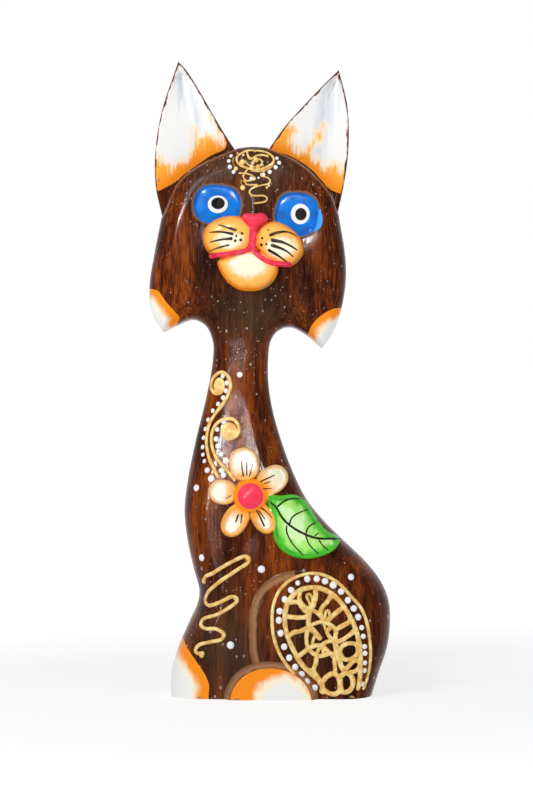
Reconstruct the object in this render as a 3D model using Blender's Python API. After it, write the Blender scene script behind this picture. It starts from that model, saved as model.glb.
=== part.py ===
"""A painted wooden cat figurine, carved from one piece of wood.

The figure faces -Y and stands on z = 0. Its outline and carving are drawn in the plane of the plank it is
cut from, x to the right and z up, in three-hundredths of its height. Depths, thicknesses and the height of
each relief are real sizes in metres. One sheet of triangles over the outline is lifted to the front surface
and another to the back surface, and a strip round the rim joins them into one solid.
"""

import math

import bmesh
import bpy
import numpy as np
from mathutils import Vector
from mathutils.geometry import delaunay_2d_cdt
from mathutils.kdtree import KDTree

# Driving dimensions in metres
HEIGHT = 0.300
BASE_DEPTH = 0.048
HAUNCH_DEPTH = 0.050
CHEST_DEPTH = 0.043
NECK_DEPTH = 0.030
HEAD_DEPTH = 0.036
CROWN_DEPTH = 0.0331
EAR_THICKNESS = 0.0080
RIM_THICKNESS = 0.014
BROW_THICKNESS = 0.019

# Roundings from the front and back surfaces into the rim, in metres
BODY_ROUNDING = 0.013
NECK_ROUNDING = 0.012
HEAD_ROUNDING = 0.0095
EAR_ROUNDING = 0.0010
BROW_STEP = 0.0006

# Heights and depths of the carving in metres
EAR_HOLLOW = 0.0032
EYE_SINK = 0.0020
EYE_BULGE = 0.0006
EYE_HOLLOW = 0.0012
BRIDGE_RELIEF = 0.0014
PAD_RELIEF = 0.0068
PHILTRUM_RELIEF = 0.0060
CHIN_RELIEF = 0.0052
NOSE_RELIEF = 0.0080
MUZZLE_ROOT = 0.0024
THIGH_RELIEF = 0.0030
FOOT_RELIEF = 0.0036
PETAL_RELIEF = 0.0019
PETAL_DISH = 0.0009
FLOWER_EYE_RELIEF = 0.0034
LEAF_RELIEF = 0.0019
LEAF_DISH = 0.0009
BACK_HAUNCH_RELIEF = 0.0026
TAIL_RELIEF = 0.0034

# Widths of the carved walls in metres
EYE_WALL = 0.0018
PAD_WALL = 0.0052
CHIN_WALL = 0.0060
PHILTRUM_WALL = 0.0028
NOSE_WALL = 0.0026
THIGH_WALL = 0.0036
FOOT_WALL = 0.0028
PETAL_WALL = 0.0009
LEAF_WALL = 0.0009
BACK_HAUNCH_WALL = 0.0060
TAIL_WIDTH = 0.0110

# Spacing of the facets in metres
RIM_SPACING = 0.0034
CARVING_SPACING = 0.0021
FIELD_SPACING = 0.0044

# How near the carving and the facet lines come to the rim, and how nearly a point is on an edge, in metres
RIM_FADE = 0.0015
LINE_CLEARANCE = 0.0009
EDGE_SLACK = 0.00004
ON_LINE = 1e-6

# Depths and roundings that change with height, as (height in three-hundredths, size in metres)
DEPTHS = [
    (0, BASE_DEPTH), (30, HAUNCH_DEPTH), (85, CHEST_DEPTH), (145, NECK_DEPTH), (168, NECK_DEPTH),
    (205, HEAD_DEPTH), (262, CROWN_DEPTH),
]
EDGE_THICKNESSES = [(222, RIM_THICKNESS), (240, BROW_THICKNESS)]
ROUNDINGS = [(60, BODY_ROUNDING), (120, NECK_ROUNDING), (180, HEAD_ROUNDING)]

# Where facet lines run: shares of the width of a wall or of the tail, and degrees round a rounding
WALL_LINES = (0.0, 0.3, 0.75)
NOSE_LINE = 0.6
PHILTRUM_LINE = 0.5
DISH_LINES = (0.0, 1.0, 3.0)
BUTTON_LINES = (0.0, 0.5)
HAUNCH_LINES = (0.0, 0.35)
TAIL_LINES = (-1.0, -0.75, 0.0, 0.75, 1.0)
ROUNDING_ANGLES = (30, 54, 78)
CORNER_ANGLES = (30, 55, 75)

# Shares of a spacing that points keep from each other, and shares of an inset that a moved point keeps
ROUNDING_GAP = 0.3
FIELD_GAP = 0.62
FIELD_MARGIN = 0.5
TUFT_STEPS = (0.8, 1.6, 2.4)
ROUNDING_KEPT = 0.93
DRAWN_KEPT = 0.9
MERGE_DISTANCE = 1e-4
SMOOTH_UNDER_DEGREES = 38

LACQUER_COLOR = (0.105, 0.036, 0.014, 1.0)
LACQUER_ROUGHNESS = 0.28

# The outline, anticlockwise from the right end of the base, in three-hundredths of the height
RIGHT_FLANK = [
    (48.2, 0.0), (51.5, 10.7), (55.4, 22.6), (56.8, 33.6), (56.3, 44.0), (52.5, 53.6), (44.9, 63.1),
    (34.9, 72.6), (25.4, 82.1), (17.7, 91.7), (10.6, 106.0), (5.4, 120.2), (1.5, 133.6), (-0.6, 146.4),
    (-0.8, 158.3), (0.4, 167.3), (3.8, 172.2), (9.6, 174.0), (16.8, 170.7), (24.9, 164.0),
]
RIGHT_CHEEK = [(24.9, 164.0), (29.6, 170.7), (33.5, 181.2), (35.8, 194.0), (35.8, 206.0), (32.3, 228.3)]
RIGHT_EAR_OUTER = [(32.3, 228.3), (35.4, 243.1), (37.3, 258.3), (36.8, 278.8), (32.7, 296.0)]
RIGHT_EAR_INNER = [(32.7, 296.0), (24.9, 288.3), (7.3, 269.3), (-0.6, 258.3)]
CROWN = [(-0.6, 258.3), (-8.5, 258.8), (-16.5, 257.9)]
LEFT_EAR_INNER = [(-16.5, 257.9), (-22.3, 266.9), (-39.4, 295.5), (-43.5, 300.0)]
LEFT_EAR_OUTER = [(-43.5, 300.0), (-51.3, 276.4), (-54.4, 257.0), (-54.2, 240.7), (-51.1, 226.4)]
LEFT_CHEEK = [(-51.1, 226.4), (-54.6, 208.8), (-57.0, 192.5), (-55.6, 180.2), (-50.6, 171.7)]
LEFT_FLANK = [
    (-50.6, 171.7), (-44.6, 174.7), (-36.5, 177.6), (-30.4, 174.5), (-27.0, 166.9), (-27.0, 158.3),
    (-30.4, 139.3), (-35.1, 120.2), (-38.9, 101.2), (-40.4, 86.9), (-38.9, 72.6), (-36.1, 59.8),
    (-33.4, 49.2), (-34.3, 43.1), (-38.9, 32.6), (-43.7, 21.2), (-46.5, 10.7), (-46.8, 0.0),
]
# The edge of the skull where it stands in front of each ear
RIGHT_BROW = [(-0.6, 258.3), (12.9, 252.4), (22.3, 244.7), (29.2, 236.2), (32.3, 228.3)]
LEFT_BROW = [(-16.5, 257.9), (-25.9, 254.1), (-34.4, 249.9), (-43.4, 242.3), (-51.1, 226.4)]
RIGHT_EAR_CREASE = [(30.6, 289.8), (25.8, 273.1), (18.7, 250.0)]
LEFT_EAR_CREASE = [(-42.7, 292.6), (-35.6, 265.0), (-31.5, 249.0)]

# Ovals as (centre x, centre z, half width, half height, turn in degrees, squareness), in the same unit
LEFT_EYE = (-24.6, 230.8, 11.8, 10.2, -7.0, 2.5)
RIGHT_EYE = (12.6, 226.4, 10.8, 11.0, -7.0, 2.6)
LEFT_PAD = (-19.2, 215.6, 12.2, 10.0, 11.0, 2.2)
RIGHT_PAD = (4.4, 212.4, 12.2, 9.3, -36.0, 2.2)
PHILTRUM = (-8.0, 214.5, 3.6, 7.0, 5.0, 2.0)
THIGH = (22.0, 31.0, 31.4, 29.0, 0.0, 2.8)
HIND_FOOT = (0.5, -2.0, 21.8, 19.6, -3.0, 2.1)
FLOWER_EYE = (-9.0, 94.5, 8.1, 8.1, 0.0, 2.0)
BACK_HAUNCH = (22.0, 33.0, 30.0, 27.0, 0.0, 2.4)
NOSE = [(-12.9, 226.0), (-7.0, 227.2), (-1.0, 224.4), (-3.4, 219.8), (-7.4, 217.2), (-10.6, 220.2)]
CHIN = [
    (-24.5, 204.3), (-19.6, 207.5), (-11.1, 209.5), (-4.1, 209.0), (2.4, 205.5), (4.0, 200.2),
    (2.8, 196.7), (0.0, 193.1), (-4.8, 190.7), (-10.5, 190.3), (-15.2, 191.2), (-19.0, 193.8),
    (-21.9, 197.2), (-23.8, 200.9),
]
BRIDGE = [(-9.2, 252.0), (-7.4, 226.0)]
BRIDGE_REACH = 6.0
EYE_HOLLOW_REACH = 15.0
THIGH_FADE = (4.0, 24.0)
# Petals as (direction in degrees, distance from the flower's centre, half length, half width)
PETALS = [
    (101.7, 15.0, 7.9, 7.0),
    (36.0, 12.5, 7.8, 6.3),
    (172.0, 13.0, 6.6, 5.8),
    (-122.0, 13.3, 8.4, 5.8),
    (-61.0, 11.4, 8.2, 5.1),
]
PETAL_SQUARENESS = 2.2
LEAF_UPPER = [
    (-2.7, 96.5), (4.3, 94.7), (10.8, 95.0), (16.0, 92.6), (22.5, 82.8), (27.2, 77.6), (34.0, 74.5),
]
LEAF_LOWER = [
    (34.0, 74.5), (30.5, 69.6), (22.0, 65.9), (15.0, 65.4), (8.0, 67.5), (3.0, 72.5), (-0.4, 88.8),
    (-2.7, 96.5),
]
TAIL = [(47.0, 34.0), (46.5, 20.0), (37.0, 10.5), (18.0, 8.0), (-4.0, 9.0), (-24.0, 11.5)]

SHARE = HEIGHT / 300
OVAL_STEPS = 720
SPAN_STEPS = 25


def scaled(points):
    """Points in three-hundredths of the height, as metres."""
    return np.array(points, float) * SHARE


def resample(path, spacing):
    """Evenly spaced points along a path, about one spacing apart, with both ends kept."""
    lengths = np.hypot(*np.diff(path, axis=0).T)
    travel = np.concatenate([[0.0], np.cumsum(lengths)])
    stops = np.linspace(0.0, travel[-1], max(2, round(travel[-1] / spacing) + 1))
    return np.column_stack([np.interp(stops, travel, path[:, k]) for k in range(2)])


def smooth_curve(points, spacing, closed=False):
    """A centripetal curve through the given points, evenly sampled."""
    knots = scaled(points)
    if closed:
        padded = np.vstack([knots[-1], knots, knots[:2]])
    else:
        padded = np.vstack([2 * knots[0] - knots[1], knots, 2 * knots[-1] - knots[-2]])
    dense = [knots[:1]]
    for i in range(len(padded) - 3):
        p0, p1, p2, p3 = padded[i:i + 4]
        t1 = math.sqrt(np.linalg.norm(p1 - p0))
        t2 = t1 + math.sqrt(np.linalg.norm(p2 - p1))
        t3 = t2 + math.sqrt(np.linalg.norm(p3 - p2))
        t = np.linspace(t1, t2, SPAN_STEPS)[1:, None]
        a1 = (t1 - t) / t1 * p0 + t / t1 * p1
        a2 = (t2 - t) / (t2 - t1) * p1 + (t - t1) / (t2 - t1) * p2
        a3 = (t3 - t) / (t3 - t2) * p2 + (t - t2) / (t3 - t2) * p3
        b1 = (t2 - t) / t2 * a1 + t / t2 * a2
        b2 = (t3 - t) / (t3 - t1) * a2 + (t - t1) / (t3 - t1) * a3
        dense.append((t2 - t) / (t2 - t1) * b1 + (t - t1) / (t2 - t1) * b2)
    return resample(np.vstack(dense), spacing)


def oval(shape, spacing, inset=0.0):
    """A closed superellipse, drawn in from its edge by an inset in metres."""
    cx, cz, wide, high, turn, square = shape
    wide = wide * SHARE - inset
    high = high * SHARE - inset
    angle = np.linspace(0.0, 2 * math.pi, OVAL_STEPS + 1)
    x = wide * np.sign(np.cos(angle)) * np.abs(np.cos(angle)) ** (2 / square)
    z = high * np.sign(np.sin(angle)) * np.abs(np.sin(angle)) ** (2 / square)
    turn = math.radians(turn)
    turned = np.column_stack([
        x * math.cos(turn) - z * math.sin(turn),
        x * math.sin(turn) + z * math.cos(turn),
    ])
    return resample(turned + scaled((cx, cz)), spacing)


def petal_oval(petal):
    """The oval of one petal, placed round the flower's centre."""
    direction, reach, long_half, short_half = petal
    angle = math.radians(direction)
    x = FLOWER_EYE[0] + reach * math.cos(angle)
    z = FLOWER_EYE[1] + reach * math.sin(angle)
    return (x, z, long_half, short_half, direction, PETAL_SQUARENESS)


def path_distance(points, path):
    """The distance of each point to a path."""
    start = path[:-1]
    edge = path[1:] - start
    length2 = np.maximum((edge ** 2).sum(axis=1), 1e-18)
    away = points[:, None, :] - start[None]
    along = np.clip((away * edge[None]).sum(axis=2) / length2[None], 0.0, 1.0)
    return np.sqrt(((away - along[..., None] * edge[None]) ** 2).sum(axis=2).min(axis=1))


def is_inside(points, ring):
    """Which points lie inside a closed ring, by counting the edges to their right."""
    x, z = points[:, :1], points[:, 1:]
    ax, az = ring[:, 0][None], ring[:, 1][None]
    bx, bz = np.roll(ring[:, 0], -1)[None], np.roll(ring[:, 1], -1)[None]
    spans = (az > z) != (bz > z)
    rise = np.where(bz == az, 1.0, bz - az)
    crosses = spans & (x < (bx - ax) * (z - az) / rise + ax)
    return crosses.sum(axis=1) % 2 == 1


def depth_inside(points, ring):
    """The distance to a closed ring, positive inside it and negative outside."""
    closed = np.vstack([ring, ring[:1]])
    return np.where(is_inside(points, ring), 1.0, -1.0) * path_distance(points, closed)


def ease(t):
    """A smooth step from 0 to 1."""
    t = np.clip(t, 0.0, 1.0)
    return t * t * (3.0 - 2.0 * t)


def round_over(t):
    """A quarter round from 0 to 1."""
    t = np.clip(t, 0.0, 1.0)
    return np.sqrt(1.0 - (1.0 - t) ** 2)


def by_height(z, stations):
    """A size that changes smoothly with height between (height, size) stations."""
    size = np.full(len(z), stations[0][1])
    for (low, before), (high, after) in zip(stations, stations[1:]):
        size += (after - before) * ease((z - low * SHARE) / ((high - low) * SHARE))
    return size


class Outline:
    """The curves of the silhouette, and what is measured from them."""

    def __init__(self, spacing):
        def curve(points):
            return smooth_curve(points, spacing)

        flanks = [curve(RIGHT_FLANK), curve(RIGHT_CHEEK)]
        right_ear = [curve(RIGHT_EAR_OUTER), curve(RIGHT_EAR_INNER)]
        crown = curve(CROWN)
        left_ear = [curve(LEFT_EAR_INNER), curve(LEFT_EAR_OUTER)]
        left_side = [curve(LEFT_CHEEK), curve(LEFT_FLANK)]
        self.brows = [curve(RIGHT_BROW), curve(LEFT_BROW)]
        self.creases = [curve(RIGHT_EAR_CREASE), curve(LEFT_EAR_CREASE)]
        self.base = self.base_line(left_side[-1][-1], flanks[0][0], spacing)
        self.rim = self.joined(flanks + right_ear + [crown] + left_ear + left_side + [self.base])
        self.ear_edges = [np.vstack(right_ear), np.vstack(left_ear)]
        right_brow_back = self.brows[0][::-1]
        self.body_edge = np.vstack(flanks + [right_brow_back, crown, self.brows[1]] + left_side)
        self.body_ring = np.vstack([self.body_edge, self.base])

    @staticmethod
    def joined(curves):
        """One closed ring from curves that meet end to end."""
        return np.vstack([path[:-1] for path in curves])

    @staticmethod
    def base_line(left, right, spacing):
        """The straight base, with stops close together where the plan turns round its corners."""
        turn = BODY_ROUNDING * (1 - np.cos(np.radians(CORNER_ANGLES)))
        middle = np.arange(left[0] + BODY_ROUNDING, right[0] - BODY_ROUNDING + spacing / 2, spacing)
        x = np.concatenate([[left[0]], left[0] + turn, middle, (right[0] - turn)[::-1], [right[0]]])
        return np.column_stack([x, np.zeros(len(x))])

    def in_ear(self, points):
        """Which points lie on an ear, above the brow line."""
        return depth_inside(points, self.body_ring) < -ON_LINE


def skull_share(points, outline):
    """0 on the ears, rising to 1 across a step in from the brow line."""
    to_brow = np.minimum(*(path_distance(points, brow) for brow in outline.brows))
    share = np.clip(to_brow / BROW_STEP, 0.0, 1.0)
    share[outline.in_ear(points)] = 0.0
    return share


def slab(points, outline):
    """Half the depth of the body and head at each point, before any carving."""
    z = points[:, 1]
    half = by_height(z, DEPTHS) / 2
    edge = by_height(z, EDGE_THICKNESSES) / 2
    rounding = by_height(z, ROUNDINGS)
    return edge + (half - edge) * round_over(path_distance(points, outline.body_edge) / rounding)


def ear_front(points, outline):
    """How far the front of an ear stands from the middle of the plank, with its hollow."""
    edge = np.minimum(*(path_distance(points, path) for path in outline.ear_edges))
    crease = np.minimum(*(path_distance(points, path) for path in outline.creases))
    rounded = round_over(edge / EAR_ROUNDING)
    inner = np.maximum(edge - EAR_ROUNDING, 0.0)
    hollow = EAR_HOLLOW * inner / np.maximum(inner + crease, 1e-6)
    return EAR_THICKNESS / 2 - EAR_ROUNDING * (1 - rounded) - hollow


def bump(points, ring, wall, relief):
    """A raised form with a quarter-round wall."""
    return relief * round_over((depth_inside(points, ring) - EDGE_SLACK) / wall)


def fine_oval(shape):
    """An oval sampled finely enough to measure from."""
    return oval(shape, CARVING_SPACING / 2)


def fine_curve(points):
    """A closed curve sampled finely enough to measure from."""
    return smooth_curve(points, CARVING_SPACING / 2, closed=True)


def gauss(distance, reach):
    """A soft bell that fades with distance."""
    return np.exp(-(distance / (reach * SHARE)) ** 2)


def face_relief(points):
    """The bridge, the sunk eyes, the muzzle pads, the chin and the nose."""
    relief = BRIDGE_RELIEF * gauss(path_distance(points, scaled(BRIDGE)), BRIDGE_REACH)
    for eye in (LEFT_EYE, RIGHT_EYE):
        centre = scaled(eye[:2])
        relief -= EYE_HOLLOW * gauss(np.hypot(*(points - centre).T), EYE_HOLLOW_REACH)
        inside = depth_inside(points, fine_oval(eye))
        bulge = EYE_BULGE * round_over((inside - EYE_WALL) / (eye[2] * SHARE - EYE_WALL))
        relief += bulge - EYE_SINK * np.clip(inside / EYE_WALL, 0.0, 1.0)
    muzzle = bump(points, fine_curve(NOSE), NOSE_WALL, NOSE_RELIEF)
    muzzle = np.maximum(muzzle, bump(points, fine_curve(CHIN), CHIN_WALL, CHIN_RELIEF))
    for shape, wall, height in (
        (LEFT_PAD, PAD_WALL, PAD_RELIEF), (RIGHT_PAD, PAD_WALL, PAD_RELIEF),
        (PHILTRUM, PHILTRUM_WALL, PHILTRUM_RELIEF),
    ):
        muzzle = np.maximum(muzzle, bump(points, fine_oval(shape), wall, height))
    return muzzle + relief * (1.0 - np.clip(muzzle / MUZZLE_ROOT, 0.0, 1.0))


def haunch_relief(points):
    """The thigh, which fades into the rump, and the hind foot in front of it."""
    start, end = THIGH_FADE
    fade = 1.0 - ease((points[:, 0] / SHARE - start) / (end - start))
    thigh_depth = depth_inside(points, oval(THIGH, CARVING_SPACING))
    thigh = THIGH_RELIEF * fade * ease(thigh_depth / THIGH_WALL)
    foot_depth = depth_inside(points, oval(HIND_FOOT, CARVING_SPACING))
    return np.maximum(thigh, FOOT_RELIEF * ease(foot_depth / FOOT_WALL))


def leaf_ring(spacing):
    """The closed outline of the leaf."""
    return np.vstack([smooth_curve(LEAF_UPPER, spacing)[:-1], smooth_curve(LEAF_LOWER, spacing)[:-1]])


def dished(inside, wall, relief, dish):
    """A wall up to a raised rim, with a shallow dish inside the rim."""
    bowl = ease((inside - 2 * wall) / (3 * wall))
    return np.where(inside > 0.0, relief * np.clip(inside / wall, 0.0, 1.0) - dish * bowl, 0.0)


def blossom_relief(points):
    """The leaf, the petals over it and the button of the flower over them."""
    relief = dished(depth_inside(points, leaf_ring(CARVING_SPACING)), LEAF_WALL, LEAF_RELIEF, LEAF_DISH)
    for petal in PETALS:
        inside = depth_inside(points, fine_oval(petal_oval(petal)))
        under = relief * (1.0 - np.clip(inside / PETAL_WALL, 0.0, 1.0))
        relief = np.maximum(under, dished(inside, PETAL_WALL, PETAL_RELIEF, PETAL_DISH))
    return np.maximum(relief, bump(points, fine_oval(FLOWER_EYE), FLOWER_EYE[2] * SHARE, FLOWER_EYE_RELIEF))


def front_surface(points, outline):
    """How far the front surface stands forward of the middle of the plank."""
    body = slab(points, outline)
    fade = np.clip(path_distance(points, outline.body_edge) / RIM_FADE, 0.0, 1.0)
    body += fade * (face_relief(points) + haunch_relief(points) + blossom_relief(points))
    share = skull_share(points, outline)
    return share * body + (1.0 - share) * ear_front(points, outline)


def back_surface(points, outline):
    """How far the back surface stands behind the middle of the plank."""
    tail_path = smooth_curve(TAIL, CARVING_SPACING)
    tail = TAIL_RELIEF * round_over(1.0 - path_distance(points, tail_path) / (TAIL_WIDTH / 2))
    haunch = bump(points, fine_oval(BACK_HAUNCH), BACK_HAUNCH_WALL, BACK_HAUNCH_RELIEF)
    fade = np.clip(path_distance(points, outline.body_edge) / RIM_FADE, 0.0, 1.0)
    body = slab(points, outline) + fade * np.maximum(haunch, tail)
    edge = np.minimum(*(path_distance(points, path) for path in outline.ear_edges))
    ear = EAR_THICKNESS / 2 - EAR_ROUNDING * (1 - round_over(edge / EAR_ROUNDING))
    share = skull_share(points, outline)
    return share * body + (1.0 - share) * ear


def clipped(path, outline, clearance):
    """The stretches of a path that lie inside the rim by a clearance."""
    kept = depth_inside(path, outline.rim) > clearance
    runs = []
    run = []
    for point, keep in zip(path, kept):
        if keep:
            run.append(point)
        if run and not keep:
            runs.append(np.array(run))
            run = []
    if run:
        runs.append(np.array(run))
    return [run for run in runs if len(run) > 1]


def front_lines():
    """The lines of the front carving that the facets follow."""
    lines = []
    for eye in (LEFT_EYE, RIGHT_EYE):
        lines += [oval(eye, CARVING_SPACING, inset) for inset in (0.0, EYE_WALL)]
    for pad in (LEFT_PAD, RIGHT_PAD):
        lines += [oval(pad, CARVING_SPACING, share * PAD_WALL) for share in WALL_LINES]
    chin = smooth_curve(CHIN, CARVING_SPACING, closed=True)
    lines += [drawn_in(chin, share * CHIN_WALL) for share in WALL_LINES]
    nose = smooth_curve(NOSE, CARVING_SPACING, closed=True)
    lines += [nose, drawn_in(nose, NOSE_LINE * NOSE_WALL)]
    lines.append(oval(PHILTRUM, CARVING_SPACING, PHILTRUM_LINE * PHILTRUM_WALL))
    for shape, wall in ((THIGH, THIGH_WALL), (HIND_FOOT, FOOT_WALL)):
        lines += [oval(shape, RIM_SPACING, inset) for inset in (0.0, wall)]
    for petal in PETALS:
        lines += [oval(petal_oval(petal), CARVING_SPACING, share * PETAL_WALL) for share in DISH_LINES]
    lines += [oval(FLOWER_EYE, CARVING_SPACING, share * FLOWER_EYE[2] * SHARE) for share in BUTTON_LINES]
    leaf = leaf_ring(CARVING_SPACING)
    leaf = np.vstack([leaf, leaf[:1]])
    lines += [drawn_in(leaf, share * LEAF_WALL) for share in DISH_LINES]
    return lines


def drawn_in(ring, inset):
    """A clockwise ring moved inward by an inset, leaving out points that a corner would fold over."""
    if inset == 0.0:
        return ring
    ahead = np.roll(ring[:-1], -1, axis=0)
    behind = np.roll(ring[:-1], 1, axis=0)
    along = ahead - behind
    normal = np.column_stack([along[:, 1], -along[:, 0]]) / np.hypot(*along.T)[:, None]
    moved = ring[:-1] + normal * inset
    moved = moved[depth_inside(moved, ring[:-1]) > DRAWN_KEPT * inset]
    return np.vstack([moved, moved[:1]])


def back_lines():
    """The lines of the back carving that the facets follow."""
    lines = [oval(BACK_HAUNCH, RIM_SPACING, share * BACK_HAUNCH_WALL) for share in HAUNCH_LINES]
    path = smooth_curve(TAIL, RIM_SPACING)
    along = np.gradient(path, axis=0)
    normal = np.column_stack([-along[:, 1], along[:, 0]]) / np.hypot(*along.T)[:, None]
    lines += [path + normal * TAIL_WIDTH / 2 * share for share in TAIL_LINES]
    return lines


def rounding_points(outline):
    """Points that step in from the rim where the surfaces round over."""
    path = outline.body_edge
    along = np.gradient(path, axis=0)
    normal = np.column_stack([-along[:, 1], along[:, 0]]) / np.hypot(*along.T)[:, None]
    rounding = by_height(path[:, 1], ROUNDINGS)
    steps = []
    for angle in ROUNDING_ANGLES:
        inset = rounding * (1 - math.cos(math.radians(angle)))
        moved = path + normal * inset[:, None]
        steps.append(moved[path_distance(moved, outline.body_edge) > ROUNDING_KEPT * inset])
    return np.vstack(steps)


def thinned(points, taken, spacing):
    """The points that stay a spacing away from those taken and from each other."""
    tree = KDTree(len(taken) + len(points))
    for i, point in enumerate(np.vstack([taken, points])):
        tree.insert((point[0], point[1], 0.0), i)
    tree.balance()
    kept = set(range(len(taken)))
    for i, point in enumerate(points, start=len(taken)):
        near = tree.find_range((point[0], point[1], 0.0), spacing)
        if not any(j in kept for _, j, _ in near):
            kept.add(i)
    return np.array([point for i, point in enumerate(points, start=len(taken)) if i in kept]).reshape(-1, 2)


def tuft_ridges(rim):
    """Points down the middle of each cheek tuft, so that no facet spans its tip from edge to edge."""
    ridges = []
    for tip, inner in ((RIGHT_CHEEK[0], RIGHT_FLANK[-2]), (LEFT_CHEEK[-1], LEFT_FLANK[1])):
        outer = RIGHT_CHEEK[1] if tip == RIGHT_CHEEK[0] else LEFT_CHEEK[-2]
        toward = (scaled(inner) + scaled(outer)) / 2 - scaled(tip)
        toward /= np.hypot(*toward)
        ridges += [scaled(tip) + toward * RIM_SPACING * step for step in TUFT_STEPS]
    ridges = np.array(ridges)
    return ridges[depth_inside(ridges, rim) > LINE_CLEARANCE / 2]


def triangulate(outline, lines):
    """A sheet of triangles over the outline: its points, its faces and the rim's place among the points."""
    rim = outline.rim
    points = [rim]
    edges = [(i, (i + 1) % len(rim)) for i in range(len(rim))]
    count = len(rim)
    for line in lines:
        for run in clipped(line, outline, LINE_CLEARANCE):
            points.append(run)
            edges += [(count + i, count + i + 1) for i in range(len(run) - 1)]
            count += len(run)
    fixed = np.vstack(points)
    carved = np.vstack(points[1:])
    rounding = rounding_points(outline)
    rounding = rounding[depth_inside(rounding, rim) > LINE_CLEARANCE]
    rounding = thinned(rounding, carved, ROUNDING_GAP * RIM_SPACING)
    low, high = rim.min(axis=0), rim.max(axis=0)
    row = FIELD_SPACING * math.sqrt(3) / 2
    field = []
    for j, z in enumerate(np.arange(low[1] + row / 2, high[1], row)):
        shift = FIELD_SPACING / 2 * (j % 2)
        field += [(x + shift, z) for x in np.arange(low[0], high[0], FIELD_SPACING)]
    field = np.array(field)
    field = field[depth_inside(field, rim) > FIELD_MARGIN * FIELD_SPACING]
    field = thinned(field, np.vstack([fixed, rounding]), FIELD_GAP * FIELD_SPACING)
    field = np.vstack([tuft_ridges(rim), field])
    flat = [Vector(point) / SHARE for point in np.vstack([fixed, rounding, field])]
    made = delaunay_2d_cdt(flat, edges, [], 1, MERGE_DISTANCE)
    place = {}
    for index, sources in enumerate(made[3]):
        for source in sources:
            place[source] = index
    sheet = np.array([(point.x, point.y) for point in made[0]]) * SHARE
    return sheet, made[2], [place[i] for i in range(len(rim))]


def add_sheet(mesh, sheet, faces, depth, side):
    """Adds one lifted sheet to a mesh: side is -1 for the front and 1 for the back."""
    verts = [mesh.verts.new((x, side * y, z)) for (x, z), y in zip(sheet, depth)]
    for face in faces:
        corners = [verts[i] for i in face]
        mesh.faces.new(corners if side < 0 else corners[::-1])
    return verts


def carve_cat(outline):
    """The mesh of the whole figure."""
    mesh = bmesh.new()
    points, faces, rim_front = triangulate(outline, outline.brows + inner_brows(outline) + outline.creases
                                           + front_lines())
    front = add_sheet(mesh, points, faces, front_surface(points, outline), -1)
    points, faces, rim_back = triangulate(outline, outline.brows + inner_brows(outline) + back_lines())
    back = add_sheet(mesh, points, faces, back_surface(points, outline), 1)
    count = len(rim_front)
    for i in range(count):
        j = (i + 1) % count
        mesh.faces.new((front[rim_front[j]], front[rim_front[i]], back[rim_back[i]], back[rim_back[j]]))
    mesh.verts.index_update()
    return mesh


def inner_brows(outline):
    """The brow lines again, one step inside the skull, where it reaches its full height."""
    lines = []
    for brow in outline.brows:
        along = np.gradient(brow, axis=0)
        normal = np.column_stack([along[:, 1], -along[:, 0]]) / np.hypot(*along.T)[:, None]
        for side in (-1, 1):
            moved = brow + side * normal * BROW_STEP
            if is_inside(moved[len(moved) // 2][None], outline.body_ring)[0]:
                lines.append(moved[1:-1])
    return lines


def lacquer_material():
    """Dark stained wood under a glossy lacquer."""
    material = bpy.data.materials.new("stained_wood")
    material.use_nodes = True
    shader = material.node_tree.nodes["Principled BSDF"]
    shader.inputs["Base Color"].default_value = LACQUER_COLOR
    shader.inputs["Roughness"].default_value = LACQUER_ROUGHNESS
    shader.inputs["Metallic"].default_value = 0.0
    return material


def build():
    """Makes the figure as one object whose box is centred on the origin, standing on z = 0."""
    for old in list(bpy.data.objects):
        bpy.data.objects.remove(old, do_unlink=True)
    mesh = carve_cat(Outline(RIM_SPACING))
    spots = np.array([vert.co[:] for vert in mesh.verts])
    middle = (spots.min(axis=0) + spots.max(axis=0)) / 2
    bmesh.ops.translate(mesh, verts=mesh.verts, vec=(-middle[0], -middle[1], 0.0))
    data = bpy.data.meshes.new("cat")
    mesh.to_mesh(data)
    mesh.free()
    data.shade_smooth()
    data.set_sharp_from_angle(angle=math.radians(SMOOTH_UNDER_DEGREES))
    data.materials.append(lacquer_material())
    cat = bpy.data.objects.new("cat", data)
    bpy.context.scene.collection.objects.link(cat)


build()
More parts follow.
